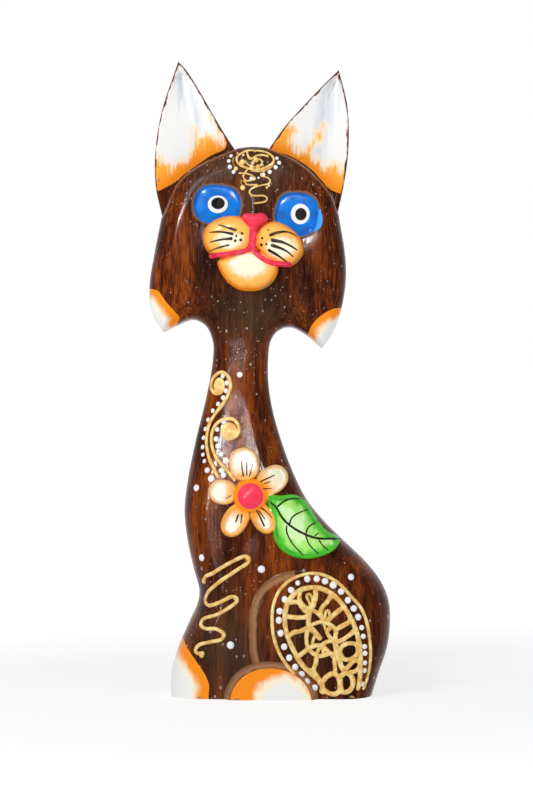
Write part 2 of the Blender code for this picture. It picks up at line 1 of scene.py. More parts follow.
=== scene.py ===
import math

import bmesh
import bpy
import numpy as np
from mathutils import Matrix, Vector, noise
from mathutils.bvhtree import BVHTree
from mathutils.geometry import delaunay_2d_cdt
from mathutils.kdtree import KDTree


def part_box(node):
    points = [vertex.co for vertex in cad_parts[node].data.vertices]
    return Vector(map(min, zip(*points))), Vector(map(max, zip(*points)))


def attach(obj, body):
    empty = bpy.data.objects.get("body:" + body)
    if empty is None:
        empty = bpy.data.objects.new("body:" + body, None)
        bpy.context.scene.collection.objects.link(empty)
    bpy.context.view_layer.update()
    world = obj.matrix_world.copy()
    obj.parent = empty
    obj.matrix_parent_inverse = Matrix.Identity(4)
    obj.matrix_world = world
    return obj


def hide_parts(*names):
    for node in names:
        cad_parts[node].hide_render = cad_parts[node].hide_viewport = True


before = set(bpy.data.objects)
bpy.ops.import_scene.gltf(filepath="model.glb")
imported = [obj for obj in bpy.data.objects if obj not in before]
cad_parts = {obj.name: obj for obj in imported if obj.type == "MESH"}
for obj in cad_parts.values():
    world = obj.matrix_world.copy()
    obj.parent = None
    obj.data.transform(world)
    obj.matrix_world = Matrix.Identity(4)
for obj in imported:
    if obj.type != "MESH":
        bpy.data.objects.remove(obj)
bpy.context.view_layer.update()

# The looks of the painted wooden cat: one finely carved body with its stain, lacquer and enamel colours, with
# some painted light and shade among them, and the piped lines, drops, whiskers and veins that lie on it. The
# figure faces -Y. Its outline and carving are in three-hundredths of its height, as in the solid. What is
# only painted is placed by pixels of the photograph, read through the same camera that takes the render, and
# lies on the carved surface.
#
# Each painted area is a smooth field stored on the body's points, in millimetres inside the area's edge.
# The material reads it by name. Piping, drops and strokes are closed meshes, laid on the body by rays from
# the camera.

node_low, node_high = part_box("cat")
HEIGHT = node_high.z - node_low.z
SHARE = HEIGHT / 300

# The photograph's frame and camera
PHOTO_WIDTH = 533
PHOTO_HEIGHT = 800
EAR_TIP_ROW = 62.5
STANDING_ROW = 692.5
MIDDLE_COLUMN = 269.75
LENS_MM = 100.0
SENSOR_MM = 36.0
FOCAL_PIXELS = LENS_MM / SENSOR_MM * PHOTO_HEIGHT
PIXEL = HEIGHT / (STANDING_ROW - EAR_TIP_ROW)
CAMERA_PLACE = Vector((
    (PHOTO_WIDTH / 2 - MIDDLE_COLUMN) * PIXEL,
    -FOCAL_PIXELS * PIXEL,
    (STANDING_ROW - PHOTO_HEIGHT / 2) * PIXEL,
))

# Sizes of the solid in metres, with the same names and values as in the solid's source
BASE_DEPTH = 0.048
HAUNCH_DEPTH = 0.050
CHEST_DEPTH = 0.043
NECK_DEPTH = 0.030
HEAD_DEPTH = 0.036
CROWN_DEPTH = 0.0331
EAR_THICKNESS = 0.0080
RIM_THICKNESS = 0.014
BROW_THICKNESS = 0.019
BODY_ROUNDING = 0.013
NECK_ROUNDING = 0.012
HEAD_ROUNDING = 0.0095
EAR_ROUNDING = 0.0010
BROW_STEP = 0.0006
EAR_HOLLOW = 0.0032
EYE_SINK = 0.0020
EYE_BULGE = 0.0006
EYE_HOLLOW = 0.0012
BRIDGE_RELIEF = 0.0014
PAD_RELIEF = 0.0068
PHILTRUM_RELIEF = 0.0060
CHIN_RELIEF = 0.0052
NOSE_RELIEF = 0.0080
MUZZLE_ROOT = 0.0024
THIGH_RELIEF = 0.0030
FOOT_RELIEF = 0.0036
PETAL_RELIEF = 0.0019
PETAL_DISH = 0.0009
FLOWER_EYE_RELIEF = 0.0034
LEAF_RELIEF = 0.0019
LEAF_DISH = 0.0009
BACK_HAUNCH_RELIEF = 0.0026
TAIL_RELIEF = 0.0034
EYE_WALL = 0.0018
PAD_WALL = 0.0052
CHIN_WALL = 0.0060
PHILTRUM_WALL = 0.0028
NOSE_WALL = 0.0026
THIGH_WALL = 0.0036
FOOT_WALL = 0.0028
PETAL_WALL = 0.0009
LEAF_WALL = 0.0009
BACK_HAUNCH_WALL = 0.0060
TAIL_WIDTH = 0.0110
RIM_FADE = 0.0015
ON_LINE = 1e-6

# Depths and roundings that change with height, as (height in three-hundredths, size in metres)
DEPTHS = [
    (0, BASE_DEPTH), (30, HAUNCH_DEPTH), (85, CHEST_DEPTH), (145, NECK_DEPTH), (168, NECK_DEPTH),
    (205, HEAD_DEPTH), (262, CROWN_DEPTH),
]
EDGE_THICKNESSES = [(222, RIM_THICKNESS), (240, BROW_THICKNESS)]
ROUNDINGS = [(60, BODY_ROUNDING), (120, NECK_ROUNDING), (180, HEAD_ROUNDING)]

# Spacing of the fine mesh in metres, and the unevenness that a knife leaves
RIM_SPACING = 0.0011
LINE_SPACING = 0.0007
FRONT_SPACING = 0.00068
BACK_SPACING = 0.0017
KNIFE_MARKS = ((0.016, 0.00022), (0.006, 0.00008))
RIM_STRIPS = 5
SHARP_OVER_DEGREES = 50

# How curves are sampled, and how many points are measured at once
SPAN_STEPS = 25
OVAL_STEPS = 721
CHUNK = 4000

# Shares of a spacing that points keep from each other, and shares of an inset that a moved point keeps
LINE_GAP = 0.3
ROUNDING_GAP = 0.3
RIM_GAP = 0.15
FIELD_MARGIN = 0.5
FIELD_GAP = 0.62
ROUNDING_KEPT = 0.93
DRAWN_KEPT = 0.9
ROUNDING_ANGLES = range(10, 80, 10)
CORNER_ANGLES = range(12, 84, 12)
MERGE_DISTANCE = 1e-4
DISH_START = 1.1
DISH_WIDTH = 1.6
KNIFE_LENGTHENING = 1.6

# The outline, anticlockwise from the right end of the base, in three-hundredths of the height
RIGHT_FLANK = [
    (48.2, 0.0), (51.5, 10.7), (55.4, 22.6), (56.8, 33.6), (56.3, 44.0), (52.5, 53.6), (44.9, 63.1),
    (34.9, 72.6), (25.4, 82.1), (17.7, 91.7), (10.6, 106.0), (5.4, 120.2), (1.5, 133.6), (-0.6, 146.4),
    (-0.8, 158.3), (0.4, 167.3), (3.8, 172.2), (9.6, 174.0), (16.8, 170.7), (24.9, 164.0),
]
RIGHT_CHEEK = [(24.9, 164.0), (29.6, 170.7), (33.5, 181.2), (35.8, 194.0), (35.8, 206.0), (32.3, 228.3)]
RIGHT_EAR_OUTER = [(32.3, 228.3), (35.4, 243.1), (37.3, 258.3), (36.8, 278.8), (32.7, 296.0)]
RIGHT_EAR_INNER = [(32.7, 296.0), (24.9, 288.3), (7.3, 269.3), (-0.6, 258.3)]
CROWN = [(-0.6, 258.3), (-8.5, 258.8), (-16.5, 257.9)]
LEFT_EAR_INNER = [(-16.5, 257.9), (-22.3, 266.9), (-39.4, 295.5), (-43.5, 300.0)]
LEFT_EAR_OUTER = [(-43.5, 300.0), (-51.3, 276.4), (-54.4, 257.0), (-54.2, 240.7), (-51.1, 226.4)]
LEFT_CHEEK = [(-51.1, 226.4), (-54.6, 208.8), (-57.0, 192.5), (-55.6, 180.2), (-50.6, 171.7)]
LEFT_FLANK = [
    (-50.6, 171.7), (-44.6, 174.7), (-36.5, 177.6), (-30.4, 174.5), (-27.0, 166.9), (-27.0, 158.3),
    (-30.4, 139.3), (-35.1, 120.2), (-38.9, 101.2), (-40.4, 86.9), (-38.9, 72.6), (-36.1, 59.8),
    (-33.4, 49.2), (-34.3, 43.1), (-38.9, 32.6), (-43.7, 21.2), (-46.5, 10.7), (-46.8, 0.0),
]
RIGHT_BROW = [(-0.6, 258.3), (12.9, 252.4), (22.3, 244.7), (29.2, 236.2), (32.3, 228.3)]
LEFT_BROW = [(-16.5, 257.9), (-25.9, 254.1), (-34.4, 249.9), (-43.4, 242.3), (-51.1, 226.4)]
RIGHT_EAR_CREASE = [(30.6, 289.8), (25.8, 273.1), (18.7, 250.0)]
LEFT_EAR_CREASE = [(-42.7, 292.6), (-35.6, 265.0), (-31.5, 249.0)]

# Ovals as (centre x, centre z, half width, half height, turn in degrees, squareness), in the same unit
LEFT_EYE = (-24.6, 230.8, 11.8, 10.2, -7.0, 2.5)
RIGHT_EYE = (12.6, 226.4, 10.8, 11.0, -7.0, 2.6)
LEFT_PAD = (-19.2, 215.6, 12.2, 10.0, 11.0, 2.2)
RIGHT_PAD = (4.4, 212.4, 12.2, 9.3, -36.0, 2.2)
PHILTRUM = (-8.0, 214.5, 3.6, 7.0, 5.0, 2.0)
THIGH = (22.0, 31.0, 31.4, 29.0, 0.0, 2.8)
HIND_FOOT = (0.5, -2.0, 21.8, 19.6, -3.0, 2.1)
FLOWER_EYE = (-9.0, 94.5, 8.1, 8.1, 0.0, 2.0)
BACK_HAUNCH = (22.0, 33.0, 30.0, 27.0, 0.0, 2.4)
NOSE = [
    (-13.3, 224.2), (-12.5, 226.3), (-10.2, 226.9), (-7.0, 226.6), (-3.6, 227.0), (-1.6, 226.0),
    (-0.5, 223.6), (-4.4, 220.2), (-7.0, 217.3), (-9.8, 220.2),
]
CHIN = [
    (-24.5, 204.3), (-19.6, 207.5), (-11.1, 209.5), (-4.1, 209.0), (2.4, 205.5), (4.0, 200.2),
    (2.8, 196.7), (0.0, 193.1), (-4.8, 190.7), (-10.5, 190.3), (-15.2, 191.2), (-19.0, 193.8),
    (-21.9, 197.2), (-23.8, 200.9),
]
BRIDGE = [(-9.2, 252.0), (-7.4, 226.0)]
BRIDGE_REACH = 6.0
EYE_HOLLOW_REACH = 15.0
THIGH_FADE = (4.0, 24.0)
PETAL_SQUARENESS = 2.2
# Petals as (direction in degrees, distance from the flower's centre, half length, half width)
PETALS = [
    (101.7, 15.0, 7.9, 7.0),
    (36.0, 12.5, 7.8, 6.3),
    (172.0, 13.0, 6.6, 5.8),
    (-122.0, 13.3, 8.4, 5.8),
    (-61.0, 11.4, 8.2, 5.1),
]
LEAF_UPPER = [
    (-2.7, 96.5), (4.3, 94.7), (10.8, 95.0), (16.0, 92.6), (22.5, 82.8), (27.2, 77.6), (34.0, 74.5),
]
LEAF_LOWER = [
    (34.0, 74.5), (30.5, 69.6), (22.0, 65.9), (15.0, 65.4), (8.0, 67.5), (3.0, 72.5), (-0.4, 88.8),
    (-2.7, 96.5),
]
TAIL = [(47.0, 34.0), (46.5, 20.0), (37.0, 10.5), (18.0, 8.0), (-4.0, 9.0), (-24.0, 11.5)]

# Edges of the painted areas in pixels of the photograph, each closed past the figure's own edge
LEFT_EAR_PAINT = [
    (150, 191), (158, 191), (166, 187), (172, 184), (185, 174), (197, 165), (210, 156), (225.5, 148),
    (227, 140), (240, 40), (140, 40),
]
RIGHT_EAR_PAINT = [
    (266, 147), (288, 155), (301, 162), (312, 170), (323, 182), (328.5, 188), (338.6, 193), (360, 194),
    (360, 40), (250, 40),
]
LEFT_EAR_WHITE = [
    (150, 144), (159.8, 158.6), (169.3, 165.9), (184, 158.6), (194.3, 149.7), (196.5, 139.5), (193.5, 129),
    (201.6, 137), (210.4, 134), (221.5, 143), (219.2, 129), (213.3, 119), (230, 40), (140, 40),
]
RIGHT_EAR_WHITE = [
    (272, 112), (292.6, 127), (292.6, 138), (295.5, 146.8), (305.8, 151.2), (313.1, 141), (323.4, 123.3),
    (320.4, 138), (311.6, 152.7), (319, 161.5), (329.2, 168.8), (335.1, 161.5), (343.9, 171.8), (360, 152),
    (360, 40), (300, 40),
]
LEFT_TUFT_PAINT = [
    (140, 287), (151, 289), (158, 291), (166, 302), (175, 312), (180, 318), (177, 324), (180, 345),
    (140, 345),
]
RIGHT_TUFT_PAINT = [
    (356, 307), (340.5, 308), (333, 309), (322, 315), (312, 325), (308, 334), (300, 360), (356, 360),
]
LEFT_FOOT_PAINT = [
    (160, 630), (177, 632), (183, 637.6), (186, 645.7), (196, 661), (205.5, 675.5), (209, 685), (208.5, 697),
    (207, 720), (160, 720),
]
HIND_FOOT_WHITE = ((283.0, 700.0), (32.0, 27.0))
MUZZLE_CREAM = [
    ((229.0, 240.0), (15.0, 9.5)), ((282.0, 247.5), (16.0, 11.5)), ((248.0, 265.0), (21.0, 14.0)),
]
LEFT_IRIS = ((217.8, 204.3), (10.0, 8.7))
RIGHT_IRIS = ((300.2, 214.0), (9.4, 10.2))
LEFT_PUPIL = ((218.0, 203.3), (6.9, 5.9))
RIGHT_PUPIL = ((300.9, 214.2), (5.8, 6.3))
MOUTH_LINES = [
    [(254, 226), (253, 234), (252.5, 242), (251, 247)],
    [(251, 246), (246, 250.5), (236, 252.5), (224, 254.5), (211.6, 256)],
    [(251, 244), (254.5, 251), (262, 258), (271, 262.5), (280, 264), (289, 264.5)],
]
MOUTH_WIDTHS = (7.5, 5.2, 5.6)
RIGHT_EYE_WALL_PAINT = [(315, 207), (320, 210), (322.5, 217), (322, 224), (318, 230), (312, 231), (314, 220)]

# Soft zones as (column, row, half width, half height, strength), of painted light and shade, grain and bumps
# Painted sheen: greyish umber where the forehead and the chin's underside show a reflection, and low on the
# front
SHEEN_ZONES = [
    (250, 166, 72, 20, 1.0), (256, 190, 26, 22, 1.0), (250, 312, 34, 36, 1.0), (246, 345, 16, 20, 0.6),
    (228, 652, 34, 52, 1.0), (300, 640, 30, 40, 0.4), (246, 285, 40, 20, 0.5),
]
PEEL_ZONES = [
    (239, 358, 9, 24, 1.0), (236, 428, 11, 38, 1.0), (217, 538, 8, 42, 1.0), (254, 552, 8, 18, 0.7),
    (262, 178, 24, 26, 0.8), (200, 172, 34, 30, 0.8),
]
# Tan on the lower right walls of the pads and the chin: partly bare wood, partly painted shade
MUZZLE_SHADE_ZONES = [(303, 263, 11, 8, 1.0), (271, 287, 13, 7, 1.0), (217, 260, 6, 5, 0.7)]
# Painted shade: darker stain round the eyes and the muzzle, below the chin and down the right side
SHADE_ZONES = [
    (208, 262, 16, 26, 0.8), (296, 280, 22, 22, 0.7), (255, 300, 50, 14, 0.6), (338, 230, 12, 50, 0.6),
    (192, 196, 12, 16, 0.4), (255, 213, 14, 8, 0.5), (262, 420, 12, 70, 0.4), (225, 560, 26, 60, 0.3),
    (375, 640, 16, 60, 0.4), (320, 640, 40, 46, 0.5),
]
# Amber of the grain, laid stronger mostly on the lit left side as painted light
AMBER_AND_LIT_ZONES = [
    (178, 265, 22, 50, 0.3), (205, 285, 18, 30, 0.2), (322, 262, 22, 34, 0.2), (212, 400, 10, 60, 0.7),
    (200, 520, 16, 60, 0.9), (246, 600, 14, 50, 0.8), (250, 425, 8, 40, 0.5), (330, 580, 24, 22, 0.5),
    (300, 545, 26, 16, 0.3),
]
# Where a field has no area, in millimetres
FAR_OUTSIDE = -9.0
FAR_AWAY = 99.0
# Paint that is carried round the edge ends behind this depth, over this width, in metres
WRAP_START = 0.003
WRAP_WIDTH = 0.004
# The thigh's bevel is painted left of this place and above this height, in metres
BEVEL_RIGHT = 0.012
BEVEL_LOW = 0.004
EYE_EDGE_SHARE = 0.45
BACK_AMBER = 0.1
AREA_STEP = 2.0

# Chips, which reach this far back in metres and look this many pixels round for the foremost surface
CHIP_DEPTH = 0.0035
CHIP_SEARCH = 3.0
CHIPS = [
    ((204.0, 365.0), (1.8, 3.2)), ((258.0, 341.0), (2.0, 1.0)), ((389.6, 617.0), (2.0, 3.0)),
    ((374.6, 678.0), (1.8, 2.4)), ((236.0, 699.5), (5.0, 1.2)), ((199.0, 697.5), (4.0, 1.2)),
    ((352.0, 697.0), (3.0, 1.2)), ((285.0, 336.0), (1.4, 1.2)), ((159.0, 180.0), (1.4, 2.6)),
]

# Enlarged views of the photograph, as (pixels to a photograph's pixel, left column, top row)
FACE_VIEW = (9.8, 180, 140)
NECK_VIEW = (13.07, 190, 330)
FLOWER_VIEW = (12.06, 190, 430)
LEAF_VIEW = (10.45, 250, 470)
HAUNCH_VIEW = (10.45, 250, 560)
WHOLE_VIEW = (1.0, 0, 0)

LINE_SPREAD = 1.2
LATTICE_SPREAD = 1.62
STROKE_SPREAD = 1.4
LIP_TAPER = 0.5
LINE_SUNK = 0.00025
LINE_STEP = 0.9
LINE_ROUNDS = 4
LINE_SIDES = 7
LINE_FOOT = 0.8
LINE_END_SHARE = 0.8
LINE_END_START = 0.00008
LINE_END_WIDTH = 0.25
LINE_END_HEIGHT = 0.15
WANDER_WAVES = 420
WIDTH_WANDER = 0.16
HEIGHT_WANDER = 0.12
DROP_TILTS = (0, 14, 30, 48, 66, 80)
DROP_WANDER = 0.09
DROP_LOOK = 0.8

# How far laid lines stand up from the surface, as a share of their width or in metres
GOLD_LIFT = 0.42
BROWN_LIFT = 0.0003
STROKE_LIFT = 0.00018
STROKE_SUNK = 0.0002
LIP_LIFT = 0.00075
LIP_SUNK = 0.0004

# How high drops stand, as shares of their radius
SCROLL_END_HEIGHT = 0.24
GOLD_DROP_HEIGHT = 0.62
WHITE_DROP_HEIGHT = 0.55
DARK_DROP_HEIGHT = 0.3
DARK_DROP_SUNK = -0.00006

# What is laid on the body, grouped by view. Piped lines are (width in the view's pixels, knots)
GOLD_LINES = [
    (WHOLE_VIEW, [
        (3, [
            (222.5, 391.5), (217, 394), (212.4, 390.6), (211.3, 384), (214.4, 376.6), (221.3, 372),
            (227.6, 375.6), (230.6, 383.5), (229.6, 391), (226.2, 398.5), (221, 406.3), (215, 414.5),
            (210.7, 421), (207.6, 431), (206.5, 441), (207.2, 449), (209.5, 459), (213.6, 468),
            (218.6, 478),
        ]),
        (2.9, [
            (234, 438), (238.2, 433.5), (238.8, 427), (235.4, 421), (229.4, 418.4), (221.4, 420.2),
            (215, 425.8), (212, 433), (211.4, 441), (213.2, 450.7), (218.2, 460.7), (225.7, 469),
            (235.5, 481),
        ]),
        (3.2, [
            (204, 581.7), (205, 577), (212, 573.6), (227, 564.4), (246.7, 556.3), (249.4, 560.6),
            (234.8, 571.4), (217.5, 583.4), (207.7, 593), (205.5, 601.8), (208.8, 605.6), (220.7, 601.8),
            (233.7, 596.4), (237.5, 600.2), (231.6, 606), (216.4, 614.8), (203.4, 619), (200.7, 624.6),
            (204.4, 628.4), (216.4, 629), (224, 634.3), (221.8, 639.2), (209.9, 642), (199, 645),
            (195.2, 650.6), (198, 653.8), (203.4, 652.7), (200.7, 657),
        ]),
    ]),
    (HAUNCH_VIEW, [
        (22, [
            (470, 1200), (395, 1115), (300, 960), (247, 800), (230, 620), (245, 470), (300, 330),
            (420, 210), (560, 152), (680, 140), (800, 168), (940, 255), (1060, 385), (1165, 510),
            (1228, 680), (1252, 850), (1260, 960), (1248, 1120), (1212, 1270), (1178, 1355),
        ]),
        (33, [
            (765, 1370), (745, 1290), (690, 1235), (610, 1165), (545, 1095), (495, 1020), (460, 950),
            (420, 870), (390, 790), (370, 700), (362, 620), (372, 520), (398, 440), (450, 370), (530, 312),
            (620, 290), (700, 290), (780, 312), (850, 350), (910, 400), (970, 470), (1020, 550),
            (1070, 640), (1110, 740), (1138, 850), (1152, 950), (1156, 1040), (1152, 1150), (1145, 1250),
            (1130, 1340),
        ]),
        (31, [(395, 450), (450, 440), (510, 445), (545, 500), (585, 540), (630, 520)]),
        (31, [(525, 325), (513, 390), (530, 445), (565, 485), (620, 515)]),
        (20, [(605, 350), (592, 380), (615, 430), (640, 490), (655, 420), (630, 360), (605, 350)]),
        (34, [(680, 305), (687, 370), (675, 430), (655, 500)]),
        (31, [(840, 385), (800, 445), (755, 495), (735, 560), (760, 620)]),
        (33, [(958, 508), (900, 552), (845, 602), (800, 640)]),
        (33, [(1050, 645), (980, 680), (910, 722)]),
        (31, [(1088, 742), (1030, 792), (960, 838), (900, 860)]),
        (31, [(400, 592), (500, 602), (590, 592), (625, 550)]),
        (31, [(405, 800), (445, 762), (540, 740), (612, 702)]),
        (36, [(640, 505), (614, 580), (612, 640), (622, 700), (680, 755), (742, 835)]),
        (29, [(645, 520), (700, 550), (742, 592), (770, 640)]),
        (25, [(625, 690), (680, 662), (765, 638)]),
        (29, [(615, 710), (593, 770), (590, 850), (605, 925)]),
        (22, [(690, 770), (655, 850), (650, 900)]),
        (33, [(500, 1012), (555, 970), (605, 930), (650, 905), (705, 893), (745, 900)]),
        (29, [(605, 932), (650, 968), (695, 1005)]),
        (31, [(770, 640), (820, 668), (870, 700), (900, 742), (892, 800), (890, 850)]),
        (20, [(800, 520), (782, 590), (800, 630), (830, 590), (826, 535), (800, 520)]),
        (27, [(850, 705), (803, 745), (830, 800), (870, 845)]),
        (18, [(770, 640), (780, 700), (805, 760)]),
        (27, [(890, 850), (825, 848), (765, 878), (738, 905), (705, 960), (695, 1008)]),
        (24, [(745, 900), (768, 935), (760, 985)]),
        (27, [(755, 890), (800, 935), (838, 976)]),
        (31, [(695, 1006), (760, 1000), (838, 976), (890, 1000)]),
        (40, [(890, 850), (905, 940), (928, 1020), (950, 1100), (988, 1162)]),
        (27, [(842, 980), (876, 1020), (886, 1090), (892, 1170)]),
        (31, [(695, 1008), (688, 1080), (664, 1148), (700, 1215), (742, 1275)]),
        (27, [(664, 1148), (610, 1150), (575, 1130)]),
        (29, [
            (940, 965), (958, 905), (1025, 872), (1105, 880), (1130, 930), (1108, 1000), (1045, 1040),
            (980, 1035), (940, 965),
        ]),
        (29, [
            (998, 1150), (1048, 1090), (1108, 1045), (1140, 1062), (1140, 1120), (1090, 1168), (1030, 1172),
        ]),
        (33, [
            (745, 1285), (800, 1222), (870, 1185), (922, 1222), (942, 1290), (934, 1370), (888, 1402),
            (820, 1390), (770, 1352),
        ]),
        (33, [
            (945, 1225), (990, 1180), (1045, 1196), (1076, 1260), (1066, 1330), (1022, 1376), (965, 1380),
            (946, 1310), (945, 1225),
        ]),
    ]),
    (FACE_VIEW, [
        (19, [
            (600, 130), (562, 160), (556, 205), (585, 245), (640, 268), (700, 286), (760, 290), (825, 275),
            (885, 245), (922, 205), (910, 165), (870, 132), (800, 110), (735, 104), (655, 106), (600, 130),
        ]),
        (12, [(700, 300), (780, 308), (850, 290), (900, 262)]),
        (16, [(655, 112), (665, 150), (685, 188), (715, 175), (760, 150), (820, 148), (870, 165)]),
        (14, [(700, 225), (745, 185), (790, 192), (806, 225), (785, 248)]),
        (12, [(640, 200), (660, 235), (700, 258), (765, 262), (820, 240)]),
        (12, [(575, 325), (620, 323), (690, 340), (732, 365), (745, 385), (700, 395), (645, 402)]),
        (13, [(662, 288), (632, 325), (618, 362), (640, 398), (645, 432), (700, 440), (750, 440)]),
        (14, [
            (795, 325), (790, 350), (832, 360), (872, 376), (886, 405), (868, 430), (815, 440), (755, 453),
            (700, 478), (678, 508), (700, 540), (760, 546), (822, 545), (856, 570), (848, 596), (800, 612),
            (725, 622),
        ]),
    ]),
]
BROWN_LINES = [
    (FACE_VIEW, [
        (13, [(540, 160), (518, 190), (522, 235), (550, 275)]),
        (13, [(925, 215), (915, 250), (880, 285), (830, 308), (795, 325)]),
        (12, [(600, 385), (598, 420), (612, 450)]),
    ]),
]
# Drops of gold as (column, row, radius in the view's pixels)
GOLD_DROPS = [
    (WHOLE_VIEW, [
        (203.8, 581.2, 3.0), (248.2, 558.6, 2.8), (236, 598.2, 2.4), (201.5, 655.5, 2.4),
    ]),
    (HAUNCH_VIEW, [
        (640, 508, 34), (620, 698, 36), (767, 640, 30), (842, 604, 28), (890, 850, 38), (502, 1012, 34),
        (606, 930, 24), (742, 1280, 38), (762, 1366, 38), (884, 1178, 28), (988, 1164, 30),
        (1130, 1338, 26), (746, 895, 24), (696, 1006, 26), (840, 977, 24), (398, 452, 26), (402, 592, 25),
        (840, 388, 30), (960, 506, 26), (1042, 642, 30), (1086, 742, 26), (664, 1148, 24), (682, 308, 26),
        (525, 328, 24), (1120, 880, 26), (912, 722, 24), (408, 796, 24),
    ]),
    (FACE_VIEW, [
        (610, 218, 29), (657, 112, 17), (620, 146, 15), (702, 264, 20), (765, 262, 22), (746, 194, 26),
        (714, 226, 17), (680, 172, 15), (546, 281, 21), (637, 398, 19), (613, 468, 25), (852, 466, 13),
        (872, 448, 11), (562, 128, 12), (855, 152, 13), (620, 352, 13), (735, 110, 13), (748, 440, 12),
    ]),
]
# The wide ends of the scrolls as (column, row, radius, tallness)
SCROLL_ENDS = [(219.2, 386.2, 6.2, 1.35), (229.0, 431.6, 8.3, 1.05)]
# Drops of white as (radius in the view's pixels, places)
WHITE_DROPS = [
    (FACE_VIEW, [
        (19, [(500, 155), (478, 205), (525, 313), (950, 178), (820, 338), (700, 377)]),
        (21, [(488, 262), (972, 222), (938, 267), (880, 312)]),
        (12, [(770, 370), (850, 262), (805, 212), (728, 378)]),
    ]),
    (NECK_VIEW, [
        (30, [
            (428, 602), (482, 690), (470, 795), (432, 885), (368, 968), (297, 1055), (235, 1172),
            (200, 1293), (177, 1408), (165, 1530), (440, 1200), (355, 1300), (340, 1422), (365, 1518),
        ]),
        (37, [(652, 583)]),
    ]),
    (FLOWER_VIEW, [
        (25, [(163, 95), (153, 208), (155, 297), (173, 375)]),
        (33, [(207, 485), (315, 108), (338, 193), (375, 293), (378, 490), (402, 545)]),
        (41, [(257, 587), (435, 370), (77, 698), (140, 1540)]),
    ]),
    (WHOLE_VIEW, [
        (3.7, [(261.4, 569.3), (230.5, 645.2)]),
        (3.2, [(351, 577)]),
    ]),
    (HAUNCH_VIEW, [
        (34, [
            (675, 1335), (602, 1265), (540, 1190), (472, 1120), (410, 1022), (357, 907), (320, 765),
            (302, 630), (310, 535), (362, 412), (430, 315), (598, 198), (697, 197), (785, 222), (952, 330),
            (1023, 420), (1084, 507), (1130, 597),
        ]),
        (38, [(870, 262)]),
        (27, [
            (500, 240), (1167, 707), (1184, 798), (1197, 905), (1203, 975), (1200, 1075), (1197, 1155),
            (1175, 1295),
        ]),
    ]),
]
# Dark brush strokes as (width at the start, width at the end, knots)
DARK_STROKES = [
    (FACE_VIEW, [
        (20, 8, [(550, 885), (460, 856), (375, 828)]),
        (20, 8, [(524, 922), (400, 900), (285, 905)]),
        (20, 8, [(503, 966), (400, 976), (290, 1003)]),
        (15, 7, [(484, 1027), (380, 1055), (280, 1090)]),
        (22, 9, [(882, 933), (960, 906), (1050, 900), (1148, 943)]),
        (27, 9, [(905, 982), (1000, 1000), (1080, 1035), (1150, 1080)]),
        (25, 8, [(902, 1032), (1000, 1066), (1060, 1100), (1110, 1145)]),
        (23, 9, [(870, 1080), (950, 1125), (1055, 1200)]),
    ]),
    (FLOWER_VIEW, [
        (17, 7, [(645, 560), (630, 480), (622, 375)]),
        (15, 7, [(685, 550), (683, 390)]),
        (14, 7, [(712, 560), (740, 480), (757, 405)]),
        (12, 11, [(850, 625), (930, 585), (1020, 545)]),
        (12, 8, [(895, 646), (975, 620)]),
        (10, 6, [(880, 710), (985, 703)]),
        (14, 16, [(585, 1015), (550, 1115)]),
        (14, 8, [(627, 1010), (612, 1125)]),
        (12, 16, [(800, 965), (850, 1060), (898, 1165)]),
        (12, 9, [(830, 975), (905, 1075)]),
        (14, 8, [(855, 935), (960, 1020), (985, 1060)]),
        (20, 8, [(722, 985), (722, 1030)]),
        (9, 6, [(500, 790), (430, 830)]),
    ]),
    (WHOLE_VIEW, [
        (1.4, 1.8, [
            (268, 500.6), (276, 507), (281.6, 517), (290, 525.5), (303.6, 533.6), (316, 538), (341, 538.7),
        ]),
    ]),
    (LEAF_VIEW, [
        (14, 9, [(285, 385), (350, 330), (440, 300), (600, 310)]),
        (14, 9, [(412, 565), (430, 510), (470, 470), (600, 410)]),
        (13, 9, [(585, 665), (600, 610), (630, 580), (710, 535)]),
        (11, 8, [(675, 690), (720, 655)]),
        (13, 9, [(385, 580), (380, 630), (430, 750), (555, 890)]),
        (12, 9, [(580, 680), (620, 780), (715, 875)]),
        (12, 9, [(720, 730), (760, 790), (820, 840)]),
    ]),
]
DARK_DROPS = [
    (FACE_VIEW, [
        (607, 915, 13), (552, 940, 11), (541, 987, 14), (595, 979, 15), (865, 882, 9), (806, 962, 12),
        (798, 1026, 16), (846, 1020, 11), (545, 882, 13), (500, 966, 17), (908, 982, 18), (905, 1032, 17),
        (874, 1081, 15), (886, 932, 13),
    ]),
]


def scaled(points):
    """Points in three-hundredths of the height, as metres."""
    return np.array(points, float) * SHARE


def resample(path, spacing):
    """Evenly spaced points along a path, about one spacing apart, with both ends kept."""
    lengths = np.sqrt((np.diff(path, axis=0) ** 2).sum(axis=1))
    travel = np.concatenate([[0.0], np.cumsum(lengths)])
    stops = np.linspace(0.0, travel[-1], max(2, round(travel[-1] / spacing) + 1))
    return np.column_stack([np.interp(stops, travel, path[:, k]) for k in range(path.shape[1])])


